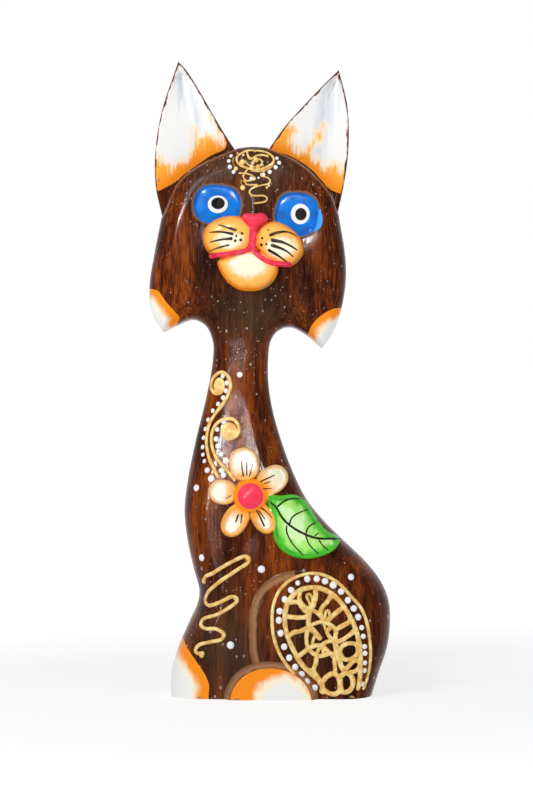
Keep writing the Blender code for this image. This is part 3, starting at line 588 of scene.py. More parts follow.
def smooth_path(knots, spacing, closed=False):
    """A centripetal curve through the given points, evenly sampled."""
    knots = np.array(knots, float)
    if closed:
        padded = np.vstack([knots[-1], knots, knots[:2]])
    else:
        padded = np.vstack([2 * knots[0] - knots[1], knots, 2 * knots[-1] - knots[-2]])
    dense = [knots[:1]]
    for i in range(len(padded) - 3):
        p0, p1, p2, p3 = padded[i:i + 4]
        t1 = math.sqrt(np.linalg.norm(p1 - p0))
        t2 = t1 + math.sqrt(np.linalg.norm(p2 - p1))
        t3 = t2 + math.sqrt(np.linalg.norm(p3 - p2))
        t = np.linspace(t1, t2, SPAN_STEPS)[1:, None]
        a1 = (t1 - t) / t1 * p0 + t / t1 * p1
        a2 = (t2 - t) / (t2 - t1) * p1 + (t - t1) / (t2 - t1) * p2
        a3 = (t3 - t) / (t3 - t2) * p2 + (t - t2) / (t3 - t2) * p3
        b1 = (t2 - t) / t2 * a1 + t / t2 * a2
        b2 = (t3 - t) / (t3 - t1) * a2 + (t - t1) / (t3 - t1) * a3
        dense.append((t2 - t) / (t2 - t1) * b1 + (t - t1) / (t2 - t1) * b2)
    return resample(np.vstack(dense), spacing)


def outline_curve(points, spacing, closed=False):
    """A smooth curve through points of the outline or the carving."""
    return smooth_path(scaled(points), spacing, closed)


def oval(shape, spacing, inset=0.0):
    """A closed superellipse, drawn in from its edge by an inset in metres."""
    cx, cz, wide, high, turn, square = shape
    wide = wide * SHARE - inset
    high = high * SHARE - inset
    angle = np.linspace(0.0, 2 * math.pi, OVAL_STEPS)
    x = wide * np.sign(np.cos(angle)) * np.abs(np.cos(angle)) ** (2 / square)
    z = high * np.sign(np.sin(angle)) * np.abs(np.sin(angle)) ** (2 / square)
    turn = math.radians(turn)
    turned = np.column_stack([
        x * math.cos(turn) - z * math.sin(turn),
        x * math.sin(turn) + z * math.cos(turn),
    ])
    return resample(turned + scaled((cx, cz)), spacing)


def petal_oval(petal):
    """The oval of one petal, placed round the flower's centre."""
    direction, reach, long_half, short_half = petal
    angle = math.radians(direction)
    x = FLOWER_EYE[0] + reach * math.cos(angle)
    z = FLOWER_EYE[1] + reach * math.sin(angle)
    return (x, z, long_half, short_half, direction, PETAL_SQUARENESS)


def in_chunks(measure):
    """Runs a measure over many points a few thousand at a time, to keep its arrays small."""
    def measured(points, path):
        parts = [measure(points[i:i + CHUNK], path) for i in range(0, len(points), CHUNK)]
        return np.concatenate(parts)
    return measured


@in_chunks
def path_distance(points, path):
    """The distance of each point to a path."""
    start = path[:-1].astype(np.float32)
    edge = path[1:].astype(np.float32) - start
    length2 = np.maximum((edge ** 2).sum(axis=1), 1e-12)
    x = points[:, :1].astype(np.float32) - start[:, 0]
    z = points[:, 1:].astype(np.float32) - start[:, 1]
    along = np.clip((x * edge[:, 0] + z * edge[:, 1]) / length2, 0.0, 1.0)
    distance2 = (x - along * edge[:, 0]) ** 2 + (z - along * edge[:, 1]) ** 2
    return np.sqrt(distance2.min(axis=1)).astype(float)


@in_chunks
def is_inside(points, ring):
    """Which points lie inside a closed ring, by counting the edges to their right."""
    x, z = points[:, :1], points[:, 1:]
    ax, az = ring[:, 0], ring[:, 1]
    bx, bz = np.roll(ax, -1), np.roll(az, -1)
    spans = (az > z) != (bz > z)
    rise = np.where(bz == az, 1.0, bz - az)
    return (spans & (x < (bx - ax) * (z - az) / rise + ax)).sum(axis=1) % 2 == 1


def depth_inside(points, ring):
    """The distance to a closed ring, positive inside it and negative outside."""
    closed = np.vstack([ring, ring[:1]])
    return np.where(is_inside(points, ring), 1.0, -1.0) * path_distance(points, closed)


def ease(t):
    """A smooth step from 0 to 1."""
    t = np.clip(t, 0.0, 1.0)
    return t * t * (3.0 - 2.0 * t)


def round_over(t):
    """A quarter round from 0 to 1."""
    t = np.clip(t, 0.0, 1.0)
    return np.sqrt(1.0 - (1.0 - t) ** 2)


def by_height(z, stations):
    """A size that changes smoothly with height between (height, size) stations."""
    size = np.full(len(z), stations[0][1])
    for (low, before), (high, after) in zip(stations, stations[1:]):
        size += (after - before) * ease((z - low * SHARE) / ((high - low) * SHARE))
    return size


class Outline:
    """The curves of the silhouette, and what is measured from them."""

    def __init__(self, spacing):
        def curve(points):
            return outline_curve(points, spacing)

        flanks = [curve(RIGHT_FLANK), curve(RIGHT_CHEEK)]
        right_ear = [curve(RIGHT_EAR_OUTER), curve(RIGHT_EAR_INNER)]
        crown = curve(CROWN)
        left_ear = [curve(LEFT_EAR_INNER), curve(LEFT_EAR_OUTER)]
        left_side = [curve(LEFT_CHEEK), curve(LEFT_FLANK)]
        self.brows = [curve(RIGHT_BROW), curve(LEFT_BROW)]
        self.creases = [curve(RIGHT_EAR_CREASE), curve(LEFT_EAR_CREASE)]
        self.base = self.base_line(left_side[-1][-1], flanks[0][0], spacing)
        around = flanks + right_ear + [crown] + left_ear + left_side + [self.base]
        self.rim = np.vstack([path[:-1] for path in around])
        self.ear_edges = [np.vstack(right_ear), np.vstack(left_ear)]
        self.body_edge = np.vstack(flanks + [self.brows[0][::-1], crown, self.brows[1]] + left_side)
        self.body_ring = np.vstack([self.body_edge, self.base])

    @staticmethod
    def base_line(left, right, spacing):
        """The straight base, with stops close together where the plan turns round its corners."""
        turn = BODY_ROUNDING * (1 - np.cos(np.radians(CORNER_ANGLES)))
        middle = np.arange(left[0] + BODY_ROUNDING, right[0] - BODY_ROUNDING + spacing / 2, spacing)
        x = np.concatenate([[left[0]], left[0] + turn, middle, (right[0] - turn)[::-1], [right[0]]])
        return np.column_stack([x, np.zeros(len(x))])

    def in_ear(self, points):
        """Which points lie on an ear, above the brow line."""
        return depth_inside(points, self.body_ring) < -ON_LINE


def skull_share(points, outline):
    """0 on the ears, rising to 1 across a step in from the brow line."""
    to_brow = np.minimum(*(path_distance(points, brow) for brow in outline.brows))
    share = np.clip(to_brow / BROW_STEP, 0.0, 1.0)
    share[outline.in_ear(points)] = 0.0
    return share


def slab(points, to_edge):
    """Half the depth of the body and head at each point, before any carving."""
    z = points[:, 1]
    half = by_height(z, DEPTHS) / 2
    edge = by_height(z, EDGE_THICKNESSES) / 2
    rounding = by_height(z, ROUNDINGS)
    return edge + (half - edge) * round_over(to_edge / rounding)


def ear_front(points, outline):
    """How far the front of an ear stands from the middle of the plank, with its hollow."""
    edge = np.minimum(*(path_distance(points, path) for path in outline.ear_edges))
    crease = np.minimum(*(path_distance(points, path) for path in outline.creases))
    rounded = round_over(edge / EAR_ROUNDING)
    inner = np.maximum(edge - EAR_ROUNDING, 0.0)
    hollow = EAR_HOLLOW * inner / np.maximum(inner + crease, 1e-6)
    return EAR_THICKNESS / 2 - EAR_ROUNDING * (1 - rounded) - hollow


def bump(points, ring, wall, relief):
    """A raised form with a quarter-round wall."""
    return relief * round_over(depth_inside(points, ring) / wall)


def gauss(distance, reach):
    """A soft bell that fades with distance."""
    return np.exp(-(distance / (reach * SHARE)) ** 2)


def muzzle_relief(points):
    """The nose, the two pads, the band between them and the chin."""
    muzzle = bump(points, outline_curve(NOSE, LINE_SPACING, closed=True), NOSE_WALL, NOSE_RELIEF)
    chin = bump(points, outline_curve(CHIN, LINE_SPACING, closed=True), CHIN_WALL, CHIN_RELIEF)
    muzzle = np.maximum(muzzle, chin)
    for shape, wall, height in (
        (LEFT_PAD, PAD_WALL, PAD_RELIEF), (RIGHT_PAD, PAD_WALL, PAD_RELIEF),
        (PHILTRUM, PHILTRUM_WALL, PHILTRUM_RELIEF),
    ):
        muzzle = np.maximum(muzzle, bump(points, oval(shape, LINE_SPACING), wall, height))
    return muzzle


def face_relief(points, muzzle):
    """The bridge, the sunk eyes and the muzzle over them."""
    relief = BRIDGE_RELIEF * gauss(path_distance(points, scaled(BRIDGE)), BRIDGE_REACH)
    for eye in (LEFT_EYE, RIGHT_EYE):
        centre = scaled(eye[:2])
        relief -= EYE_HOLLOW * gauss(np.hypot(*(points - centre).T), EYE_HOLLOW_REACH)
        inside = depth_inside(points, oval(eye, LINE_SPACING))
        bulge = EYE_BULGE * round_over((inside - EYE_WALL) / (eye[2] * SHARE - EYE_WALL))
        relief += bulge - EYE_SINK * ease(inside / EYE_WALL)
    return muzzle + relief * (1.0 - np.clip(muzzle / MUZZLE_ROOT, 0.0, 1.0))


def haunch_relief(points):
    """The thigh, which fades into the rump, and the hind foot in front of it."""
    start, end = THIGH_FADE
    fade = 1.0 - ease((points[:, 0] / SHARE - start) / (end - start))
    thigh = THIGH_RELIEF * fade * ease(depth_inside(points, oval(THIGH, LINE_SPACING)) / THIGH_WALL)
    foot = FOOT_RELIEF * ease(depth_inside(points, oval(HIND_FOOT, LINE_SPACING)) / FOOT_WALL)
    return np.maximum(thigh, foot)


def leaf_ring(spacing):
    """The closed outline of the leaf."""
    return np.vstack([outline_curve(LEAF_UPPER, spacing)[:-1], outline_curve(LEAF_LOWER, spacing)[:-1]])


def dished(inside, wall, relief, dish):
    """A rounded wall up to a raised rim, with a shallow dish inside the rim."""
    bowl = ease((inside - DISH_START * wall) / (DISH_WIDTH * wall))
    return np.where(inside > 0.0, relief * round_over(inside / wall) - dish * bowl, 0.0)


def blossom_relief(points):
    """The leaf, the petals over it and the button of the flower over them."""
    relief = dished(depth_inside(points, leaf_ring(LINE_SPACING)), LEAF_WALL, LEAF_RELIEF, LEAF_DISH)
    for petal in PETALS:
        inside = depth_inside(points, oval(petal_oval(petal), LINE_SPACING))
        under = relief * (1.0 - np.clip(inside / PETAL_WALL, 0.0, 1.0))
        relief = np.maximum(under, dished(inside, PETAL_WALL, PETAL_RELIEF, PETAL_DISH))
    button = bump(points, oval(FLOWER_EYE, LINE_SPACING), FLOWER_EYE[2] * SHARE, FLOWER_EYE_RELIEF)
    return np.maximum(relief, button)


def knife_marks(points):
    """The slight unevenness of a surface cut with a knife and sanded."""
    marks = np.zeros(len(points))
    for size, depth in KNIFE_MARKS:
        spots = [(x / size, 0.37, z / size / KNIFE_LENGTHENING) for x, z in points]
        marks += depth * np.array([noise.noise(spot) for spot in spots])
    return marks


def front_surface(points, outline):
    """How far the front surface stands forward of the middle of the plank."""
    to_edge = path_distance(points, outline.body_edge)
    fade = np.clip(to_edge / RIM_FADE, 0.0, 1.0)
    carving = face_relief(points, muzzle_relief(points)) + haunch_relief(points) + blossom_relief(points)
    body = slab(points, to_edge) + fade * (carving + knife_marks(points))
    share = skull_share(points, outline)
    return share * body + (1.0 - share) * ear_front(points, outline)


def back_surface(points, outline):
    """How far the back surface stands behind the middle of the plank."""
    tail_path = outline_curve(TAIL, LINE_SPACING)
    tail = TAIL_RELIEF * round_over(1.0 - path_distance(points, tail_path) / (TAIL_WIDTH / 2))
    haunch = bump(points, oval(BACK_HAUNCH, LINE_SPACING), BACK_HAUNCH_WALL, BACK_HAUNCH_RELIEF)
    to_edge = path_distance(points, outline.body_edge)
    fade = np.clip(to_edge / RIM_FADE, 0.0, 1.0)
    body = slab(points, to_edge) + fade * (np.maximum(haunch, tail) + knife_marks(points))
    edge = np.minimum(*(path_distance(points, path) for path in outline.ear_edges))
    ear = EAR_THICKNESS / 2 - EAR_ROUNDING * (1 - round_over(edge / EAR_ROUNDING))
    share = skull_share(points, outline)
    return share * body + (1.0 - share) * ear


def clipped(path, outline, clearance):
    """The stretches of a path that lie inside the rim by a clearance."""
    kept = depth_inside(path, outline.rim) > clearance
    runs = []
    run = []
    for point, keep in zip(path, kept):
        if keep:
            run.append(point)
        if run and not keep:
            runs.append(np.array(run))
            run = []
    if run:
        runs.append(np.array(run))
    return [run for run in runs if len(run) > 1]


def side_steps(path):
    """The unit step to the left of a path at each of its points."""
    along = np.gradient(path, axis=0)
    return np.column_stack([-along[:, 1], along[:, 0]]) / np.hypot(*along.T)[:, None]


def drawn_in(ring, inset):
    """A clockwise ring moved inward by an inset, leaving out points that a corner would fold over."""
    along = np.roll(ring[:-1], -1, axis=0) - np.roll(ring[:-1], 1, axis=0)
    normal = np.column_stack([along[:, 1], -along[:, 0]]) / np.hypot(*along.T)[:, None]
    moved = ring[:-1] + normal * inset
    moved = moved[depth_inside(moved, ring[:-1]) > DRAWN_KEPT * inset]
    return np.vstack([moved, moved[:1]])


def front_lines():
    """The lines of the front carving that the mesh follows."""
    lines = []
    walls = [(LEFT_EYE, EYE_WALL), (RIGHT_EYE, EYE_WALL), (THIGH, THIGH_WALL), (HIND_FOOT, FOOT_WALL)]
    walls += [(petal_oval(petal), PETAL_WALL) for petal in PETALS]
    for shape, wall in walls:
        lines += [oval(shape, LINE_SPACING, inset) for inset in (0.0, wall)]
    for shape in (LEFT_PAD, RIGHT_PAD, PHILTRUM):
        lines.append(oval(shape, LINE_SPACING))
    lines += [outline_curve(ring, LINE_SPACING, closed=True) for ring in (CHIN, NOSE)]
    leaf = leaf_ring(LINE_SPACING)
    leaf = np.vstack([leaf, leaf[:1]])
    lines += [leaf, drawn_in(leaf, LEAF_WALL)]
    return lines


def inner_brows(outline):
    """The brow lines again, one step inside the skull, where it reaches its full height."""
    lines = []
    for brow in outline.brows:
        for side in (-1, 1):
            moved = brow + side * side_steps(brow) * BROW_STEP
            if is_inside(moved[len(moved) // 2][None], outline.body_ring)[0]:
                lines.append(moved[1:-1])
    return lines


def rounding_points(outline):
    """Points that step in from the rim where the surfaces round over."""
    path = outline.body_edge
    rounding = by_height(path[:, 1], ROUNDINGS)
    steps = []
    for angle in ROUNDING_ANGLES:
        inset = rounding * (1 - math.cos(math.radians(angle)))
        moved = path + side_steps(path) * inset[:, None]
        steps.append(moved[path_distance(moved, outline.body_edge) > ROUNDING_KEPT * inset])
    return np.vstack(steps)


def thinned(points, taken, spacing):
    """The points that stay a spacing away from those taken and from each other."""
    tree = KDTree(len(taken) + len(points))
    for i, point in enumerate(np.vstack([taken, points])):
        tree.insert((point[0], point[1], 0.0), i)
    tree.balance()
    kept = np.zeros(len(taken) + len(points), bool)
    kept[:len(taken)] = True
    for i, point in enumerate(points, start=len(taken)):
        near = tree.find_range((point[0], point[1], 0.0), spacing)
        kept[i] = not any(kept[j] for _, j, _ in near)
    return points[kept[len(taken):]]


def triangulate(outline, lines, spacing):
    """A sheet of triangles over the outline: its points, its faces and the rim's place among the points."""
    rim = outline.rim
    points = [rim]
    edges = [(i, (i + 1) % len(rim)) for i in range(len(rim))]
    count = len(rim)
    for line in lines:
        for run in clipped(line, outline, LINE_GAP * RIM_SPACING):
            points.append(run)
            edges += [(count + i, count + i + 1) for i in range(len(run) - 1)]
            count += len(run)
    fixed = np.vstack(points)
    rounding = rounding_points(outline)
    rounding = rounding[depth_inside(rounding, rim) > 0.0]
    rounding = thinned(rounding, np.vstack(points[1:]), ROUNDING_GAP * RIM_SPACING)
    rounding = thinned(rounding, rim[:1], RIM_GAP * RIM_SPACING)
    low, high = rim.min(axis=0), rim.max(axis=0)
    row = spacing * math.sqrt(3) / 2
    heights = np.arange(low[1] + row / 2, high[1], row)
    field = []
    for j, z in enumerate(heights):
        x = np.arange(low[0], high[0], spacing) + spacing / 2 * (j % 2)
        field.append(np.column_stack([x, np.full(len(x), z)]))
    field = np.vstack(field)
    field = field[depth_inside(field, rim) > FIELD_MARGIN * spacing]
    field = thinned(field, np.vstack([fixed, rounding]), FIELD_GAP * spacing)
    flat = [Vector(point) / SHARE for point in np.vstack([fixed, rounding, field])]
    made = delaunay_2d_cdt(flat, edges, [], 1, MERGE_DISTANCE)
    place = {}
    for index, sources in enumerate(made[3]):
        for source in sources:
            place[source] = index
    sheet = np.array([(point.x, point.y) for point in made[0]]) * SHARE
    return sheet, made[2], np.array([place[i] for i in range(len(rim))])


def carve_body():
    """The whole figure as arrays: places, faces, and which points belong to the front sheet."""
    outline = Outline(RIM_SPACING)
    shared = outline.brows + inner_brows(outline)
    sheet, faces, rim = triangulate(outline, shared + outline.creases + front_lines(), FRONT_SPACING)
    front = np.column_stack([sheet[:, 0], -front_surface(sheet, outline), sheet[:, 1]])
    front_faces = [tuple(face) for face in faces]
    sheet, faces, back_rim = triangulate(outline, shared, BACK_SPACING)
    back = np.column_stack([sheet[:, 0], back_surface(sheet, outline), sheet[:, 1]])
    back_faces = [tuple(i + len(front) for i in reversed(face)) for face in faces]
    places = [front, back]
    rings = [rim]
    count = len(front) + len(back)
    for strip in range(1, RIM_STRIPS):
        share = strip / RIM_STRIPS
        places.append(front[rim] * (1 - share) + back[back_rim] * share)
        rings.append(np.arange(count, count + len(rim)))
        count += len(rim)
    rings.append(back_rim + len(front))
    side_faces = []
    for near, far in zip(rings, rings[1:]):
        around = zip(near, np.roll(near, -1), np.roll(far, -1), far)
        side_faces += [(int(b), int(a), int(d), int(c)) for a, b, c, d in around]
    places = np.vstack(places)
    middle = (places.min(axis=0) + places.max(axis=0)) / 2
    places -= (middle[0], middle[1], 0.0)
    return places, front_faces + back_faces + side_faces, len(front), outline


def to_pixels(places):
    """Where the camera sees each place, as pixels of the photograph."""
    away = places - np.array(CAMERA_PLACE)
    column = PHOTO_WIDTH / 2 + FOCAL_PIXELS * away[:, 0] / away[:, 1]
    row = PHOTO_HEIGHT / 2 - FOCAL_PIXELS * away[:, 2] / away[:, 1]
    return np.column_stack([column, row])


def ellipse_reach(seen, ellipse):
    """How far each pixel is from an ellipse's centre, where 1 is on the ellipse."""
    (column, row), (wide, high) = ellipse
    return np.hypot((seen[:, 0] - column) / wide, (seen[:, 1] - row) / high)


def zone_strength(seen, zones):
    """How strongly each pixel lies in soft oval zones, from 0 to 1."""
    strength = np.zeros(len(seen))
    for column, row, wide, high, amount in zones:
        reach = ellipse_reach(seen, ((column, row), (wide, high)))
        strength = np.maximum(strength, amount * np.exp(-reach ** 2))
    return strength


def chip_field(places, seen, chip):
    """How far inside a chip each place lies, where the chip sits on the foremost surface there."""
    reach = ellipse_reach(seen, chip)
    away = np.hypot(seen[:, 0] - chip[0][0], seen[:, 1] - chip[0][1])
    foremost = places[away < away.min() + CHIP_SEARCH, 1].min()
    return 1.0 - np.hypot(reach, (places[:, 1] - foremost) / CHIP_DEPTH)


def paint_maps(places, front_count, outline):
    """Each painted area as a smooth field over the body, in millimetres inside its edge."""
    mm = PIXEL * 1000
    seen = to_pixels(places)
    flat = places[:, [0, 2]]
    is_front = np.arange(len(places)) < front_count
    outside = np.full(len(places), FAR_OUTSIDE)
    on_ear = skull_share(flat, outline) < 0.5
    wrapped = -FAR_OUTSIDE * np.clip((places[:, 1] - WRAP_START) / WRAP_WIDTH, 0.0, 1.0)

    def area(polygon):
        return depth_inside(seen, smooth_path(polygon, AREA_STEP, closed=True)) * mm

    def shape(ring):
        return depth_inside(flat, ring) * 1000

    def front(field):
        return np.where(is_front, field, outside)

    def nearest(paths):
        return np.minimum(*(path_distance(flat, path) for path in paths)) * 1000

    def either(first, second):
        return 1.0 - np.minimum(ellipse_reach(seen, first), ellipse_reach(seen, second))

    ears = np.maximum(area(LEFT_EAR_PAINT), area(RIGHT_EAR_PAINT))
    rings = [shape(oval(pad, LINE_SPACING)) for pad in (LEFT_PAD, RIGHT_PAD)]
    rings.append(shape(outline_curve(CHIN, LINE_SPACING, closed=True)))
    nose = shape(outline_curve(NOSE, LINE_SPACING, closed=True))
    lines = [
        width / 2 * mm - path_distance(seen, smooth_path(line, 1.0)) * mm
        for line, width in zip(MOUTH_LINES, MOUTH_WIDTHS)
    ]
    eyes = np.maximum(*(shape(oval(eye, LINE_SPACING)) for eye in (LEFT_EYE, RIGHT_EYE)))
    petals = [shape(oval(petal_oval(petal), LINE_SPACING)) for petal in PETALS]
    left_of_haunch = (flat[:, 0] < BEVEL_RIGHT) & (flat[:, 1] > BEVEL_LOW)
    brows = nearest(outline.brows)
    # The grain's amber with painted light, less the painted shade
    amber_light_and_shade = zone_strength(seen, AMBER_AND_LIT_ZONES) - zone_strength(seen, SHADE_ZONES)
    return {
        "ear": np.where(on_ear & is_front, ears, outside),
        "ear_white": np.maximum(area(LEFT_EAR_WHITE), area(RIGHT_EAR_WHITE)),
        "crease": nearest(outline.creases),
        "peel": zone_strength(seen, PEEL_ZONES) * is_front,
        # Tan on the muzzle's lower right walls, partly painted shade
        "muzzle_side_shade": zone_strength(seen, MUZZLE_SHADE_ZONES) * is_front,
        "ear_edge": nearest(outline.ear_edges),
        # Where the brow's painted highlight goes
        "brow": np.where(on_ear | ~is_front, FAR_AWAY, brows),
        "tuft": np.maximum(area(LEFT_TUFT_PAINT), area(RIGHT_TUFT_PAINT)) - wrapped,
        "left_foot": area(LEFT_FOOT_PAINT) - wrapped,
        "hind_foot": front(shape(oval(HIND_FOOT, LINE_SPACING, FOOT_WALL))),
        "foot_wall": front(shape(oval(HIND_FOOT, LINE_SPACING))),
        "hind_white": 1.0 - ellipse_reach(seen, HIND_FOOT_WHITE),
        "thigh_wall": np.where(left_of_haunch & is_front, shape(oval(THIGH, LINE_SPACING)), outside),
        "eye": front(eyes - EYE_EDGE_SHARE * EYE_WALL * 1000),
        "eye_wall": front(eyes),
        "eye_side": front(area(RIGHT_EYE_WALL_PAINT)),
        "iris": front(either(LEFT_IRIS, RIGHT_IRIS)),
        "pupil": front(either(LEFT_PUPIL, RIGHT_PUPIL)),
        "muzzle": front(np.maximum.reduce(rings)),
        "pink": front(np.maximum.reduce(lines + [nose])),
        "petal": front(np.maximum.reduce(petals)),
        "petal_right": front(petals[1]),
        "petal_low": front(np.maximum(petals[3], petals[4])),
        "flower": np.where(is_front, np.hypot(*(flat - scaled(FLOWER_EYE[:2])).T) * 1000, FAR_AWAY),
        "leaf": front(shape(leaf_ring(LINE_SPACING))),
        # Painted sheen, in greyish umber
        "painted_sheen": zone_strength(seen, SHEEN_ZONES) * is_front,
        "amber_light_and_shade": np.where(is_front, amber_light_and_shade, BACK_AMBER),
        "cream": 1.0 - np.minimum.reduce([ellipse_reach(seen, patch) for patch in MUZZLE_CREAM]),
        "chip": np.maximum.reduce([chip_field(places, seen, chip) for chip in CHIPS]),
    }


def mesh_piece(name, places, faces, material):
    """A mesh object that rides with the figure."""
    data = bpy.data.meshes.new(name)
    data.from_pydata([tuple(place) for place in places], [], faces)
    data.validate()
    data.update()
    data.materials.append(material)
    piece = bpy.data.objects.new(name, data)
    bpy.context.scene.collection.objects.link(piece)
    data.shade_smooth()
    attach(piece, "root")
    return piece


class Drape:
    """Lays lines and drops of paint on the carved surface where the photograph shows them."""

    def __init__(self, places, faces):
        self.tree = BVHTree.FromPolygons([tuple(p) for p in places], faces)
        self.places = []
        self.faces = []

    def hit(self, pixel):
        """The place and the facing of the surface under one pixel of the photograph."""
        column, row = pixel
        across = (column - PHOTO_WIDTH / 2) / FOCAL_PIXELS
        ray = Vector((across, 1.0, (PHOTO_HEIGHT / 2 - row) / FOCAL_PIXELS))
        place, normal, _, _ = self.tree.ray_cast(CAMERA_PLACE, ray.normalized())
        if place is None:
            place, normal, _, _ = self.tree.find_nearest(CAMERA_PLACE + ray * -CAMERA_PLACE.y)
        return place, normal

    @staticmethod
    def in_photo(view, points):
        """Points of an enlarged view as pixels of the photograph."""
        scale, left, top = view
        return np.array(points, float) / scale + (left, top)

    def line(self, view, widths, knots, lift, sunk=LINE_SUNK):
        """A rounded line of paint along a path."""
        path = smooth_path(self.in_photo(view, knots), LINE_STEP)
        found = [self.hit(pixel) for pixel in path]
        spots = np.array([place for place, _ in found])
        facing = np.array([normal for _, normal in found])
        if len(spots) < 3:
            return
        for _ in range(LINE_ROUNDS):
            facing[1:-1] = (facing[:-2] + 2 * facing[1:-1] + facing[2:]) / 4
            spots[1:-1] = (spots[:-2] + 2 * spots[1:-1] + spots[2:]) / 4
        facing /= np.linalg.norm(facing, axis=1)[:, None]
        along = np.gradient(spots, axis=0)
        along /= np.linalg.norm(along, axis=1)[:, None]
        side = np.cross(along, facing)
        side /= np.linalg.norm(side, axis=1)[:, None]
        travel = np.concatenate([[0.0], np.cumsum(np.linalg.norm(np.diff(spots, axis=0), axis=1))])
        width = np.linspace(*widths, len(spots)) / view[0] * PIXEL
        seed = (knots[0][0] * 0.37, knots[0][1] * 0.61)
        wander = np.array([noise.noise((t * WANDER_WAVES, *seed)) for t in travel])
        width *= 1.0 + WIDTH_WANDER * wander
        to_end = np.minimum(travel, travel[-1] - travel) + LINE_END_START
        full = round_over(to_end / (LINE_END_SHARE * width / 2))
        first = len(self.places)
        arc = np.radians(np.linspace(0, 180, LINE_SIDES))
        for i, spot in enumerate(spots):
            half = width[i] / 2 * max(full[i], LINE_END_WIDTH)
            high = lift * (1.0 + HEIGHT_WANDER * wander[i]) * max(full[i], LINE_END_HEIGHT)
            for a in arc:
                self.places.append(spot + side[i] * half * math.cos(a) + facing[i] * high * math.sin(a))
            self.places.append(spot - side[i] * half * LINE_FOOT - facing[i] * sunk)
            self.places.append(spot + side[i] * half * LINE_FOOT - facing[i] * sunk)
        ring = len(arc) + 2
        for i in range(len(spots) - 1):
            for j in range(ring):
                k = (j + 1) % ring
                a, b = first + i * ring + j, first + i * ring + k
                self.faces.append((a, a + ring, b + ring, b))
        last = first + (len(spots) - 1) * ring
        self.faces.append(tuple(first + j for j in range(ring)))
        self.faces.append(tuple(last + j for j in reversed(range(ring))))

    def drop(self, view, column, row, radius, height_share, segments=16, tall=1.0, sunk=0.00012):
        """A dome of paint, slightly uneven."""
        pixel = self.in_photo(view, (column, row))
        place, normal = self.hit(pixel)
        steps = ((DROP_LOOK, 0), (-DROP_LOOK, 0), (0, DROP_LOOK), (0, -DROP_LOOK))
        around = [self.hit(pixel + step)[1] for step in steps]
        normal = (normal * 2 + sum(around, Vector())).normalized()
        reach = radius / view[0] * PIXEL
        side = Vector((0.0, 0.0, 1.0)).cross(normal).normalized()
        rise = normal.cross(side)
        first = len(self.places)
        wobble = noise.noise((column * 0.31, row * 0.17, 1.7))
        wide = 1.0 + DROP_WANDER * wobble
        high = tall * (1.05 - DROP_WANDER * wobble)
        for tilt in DROP_TILTS:
            t = math.radians(tilt)
            for k in range(segments):
                a = 2 * math.pi * k / segments
                off = side * math.cos(a) * wide + rise * math.sin(a) * high
                up = reach * height_share * math.sin(t) - sunk
                self.places.append(np.array(place + off * reach * math.cos(t) + normal * up))
        top = len(self.places)
        self.places.append(np.array(place + normal * (reach * height_share - sunk)))
        for i in range(len(DROP_TILTS) - 1):
            for k in range(segments):
                a, b = first + i * segments + k, first + i * segments + (k + 1) % segments
                self.faces.append((a, b, b + segments, a + segments))
        last = first + (len(DROP_TILTS) - 1) * segments
        for k in range(segments):
            self.faces.append((last + k, last + (k + 1) % segments, top))
        self.faces.append(tuple(first + k for k in reversed(range(segments))))

    def piece(self, name, material):
        """What was laid since the last piece, as one mesh."""
        mesh_piece(name, self.places, self.faces, material)
        self.places = []
        self.faces = []


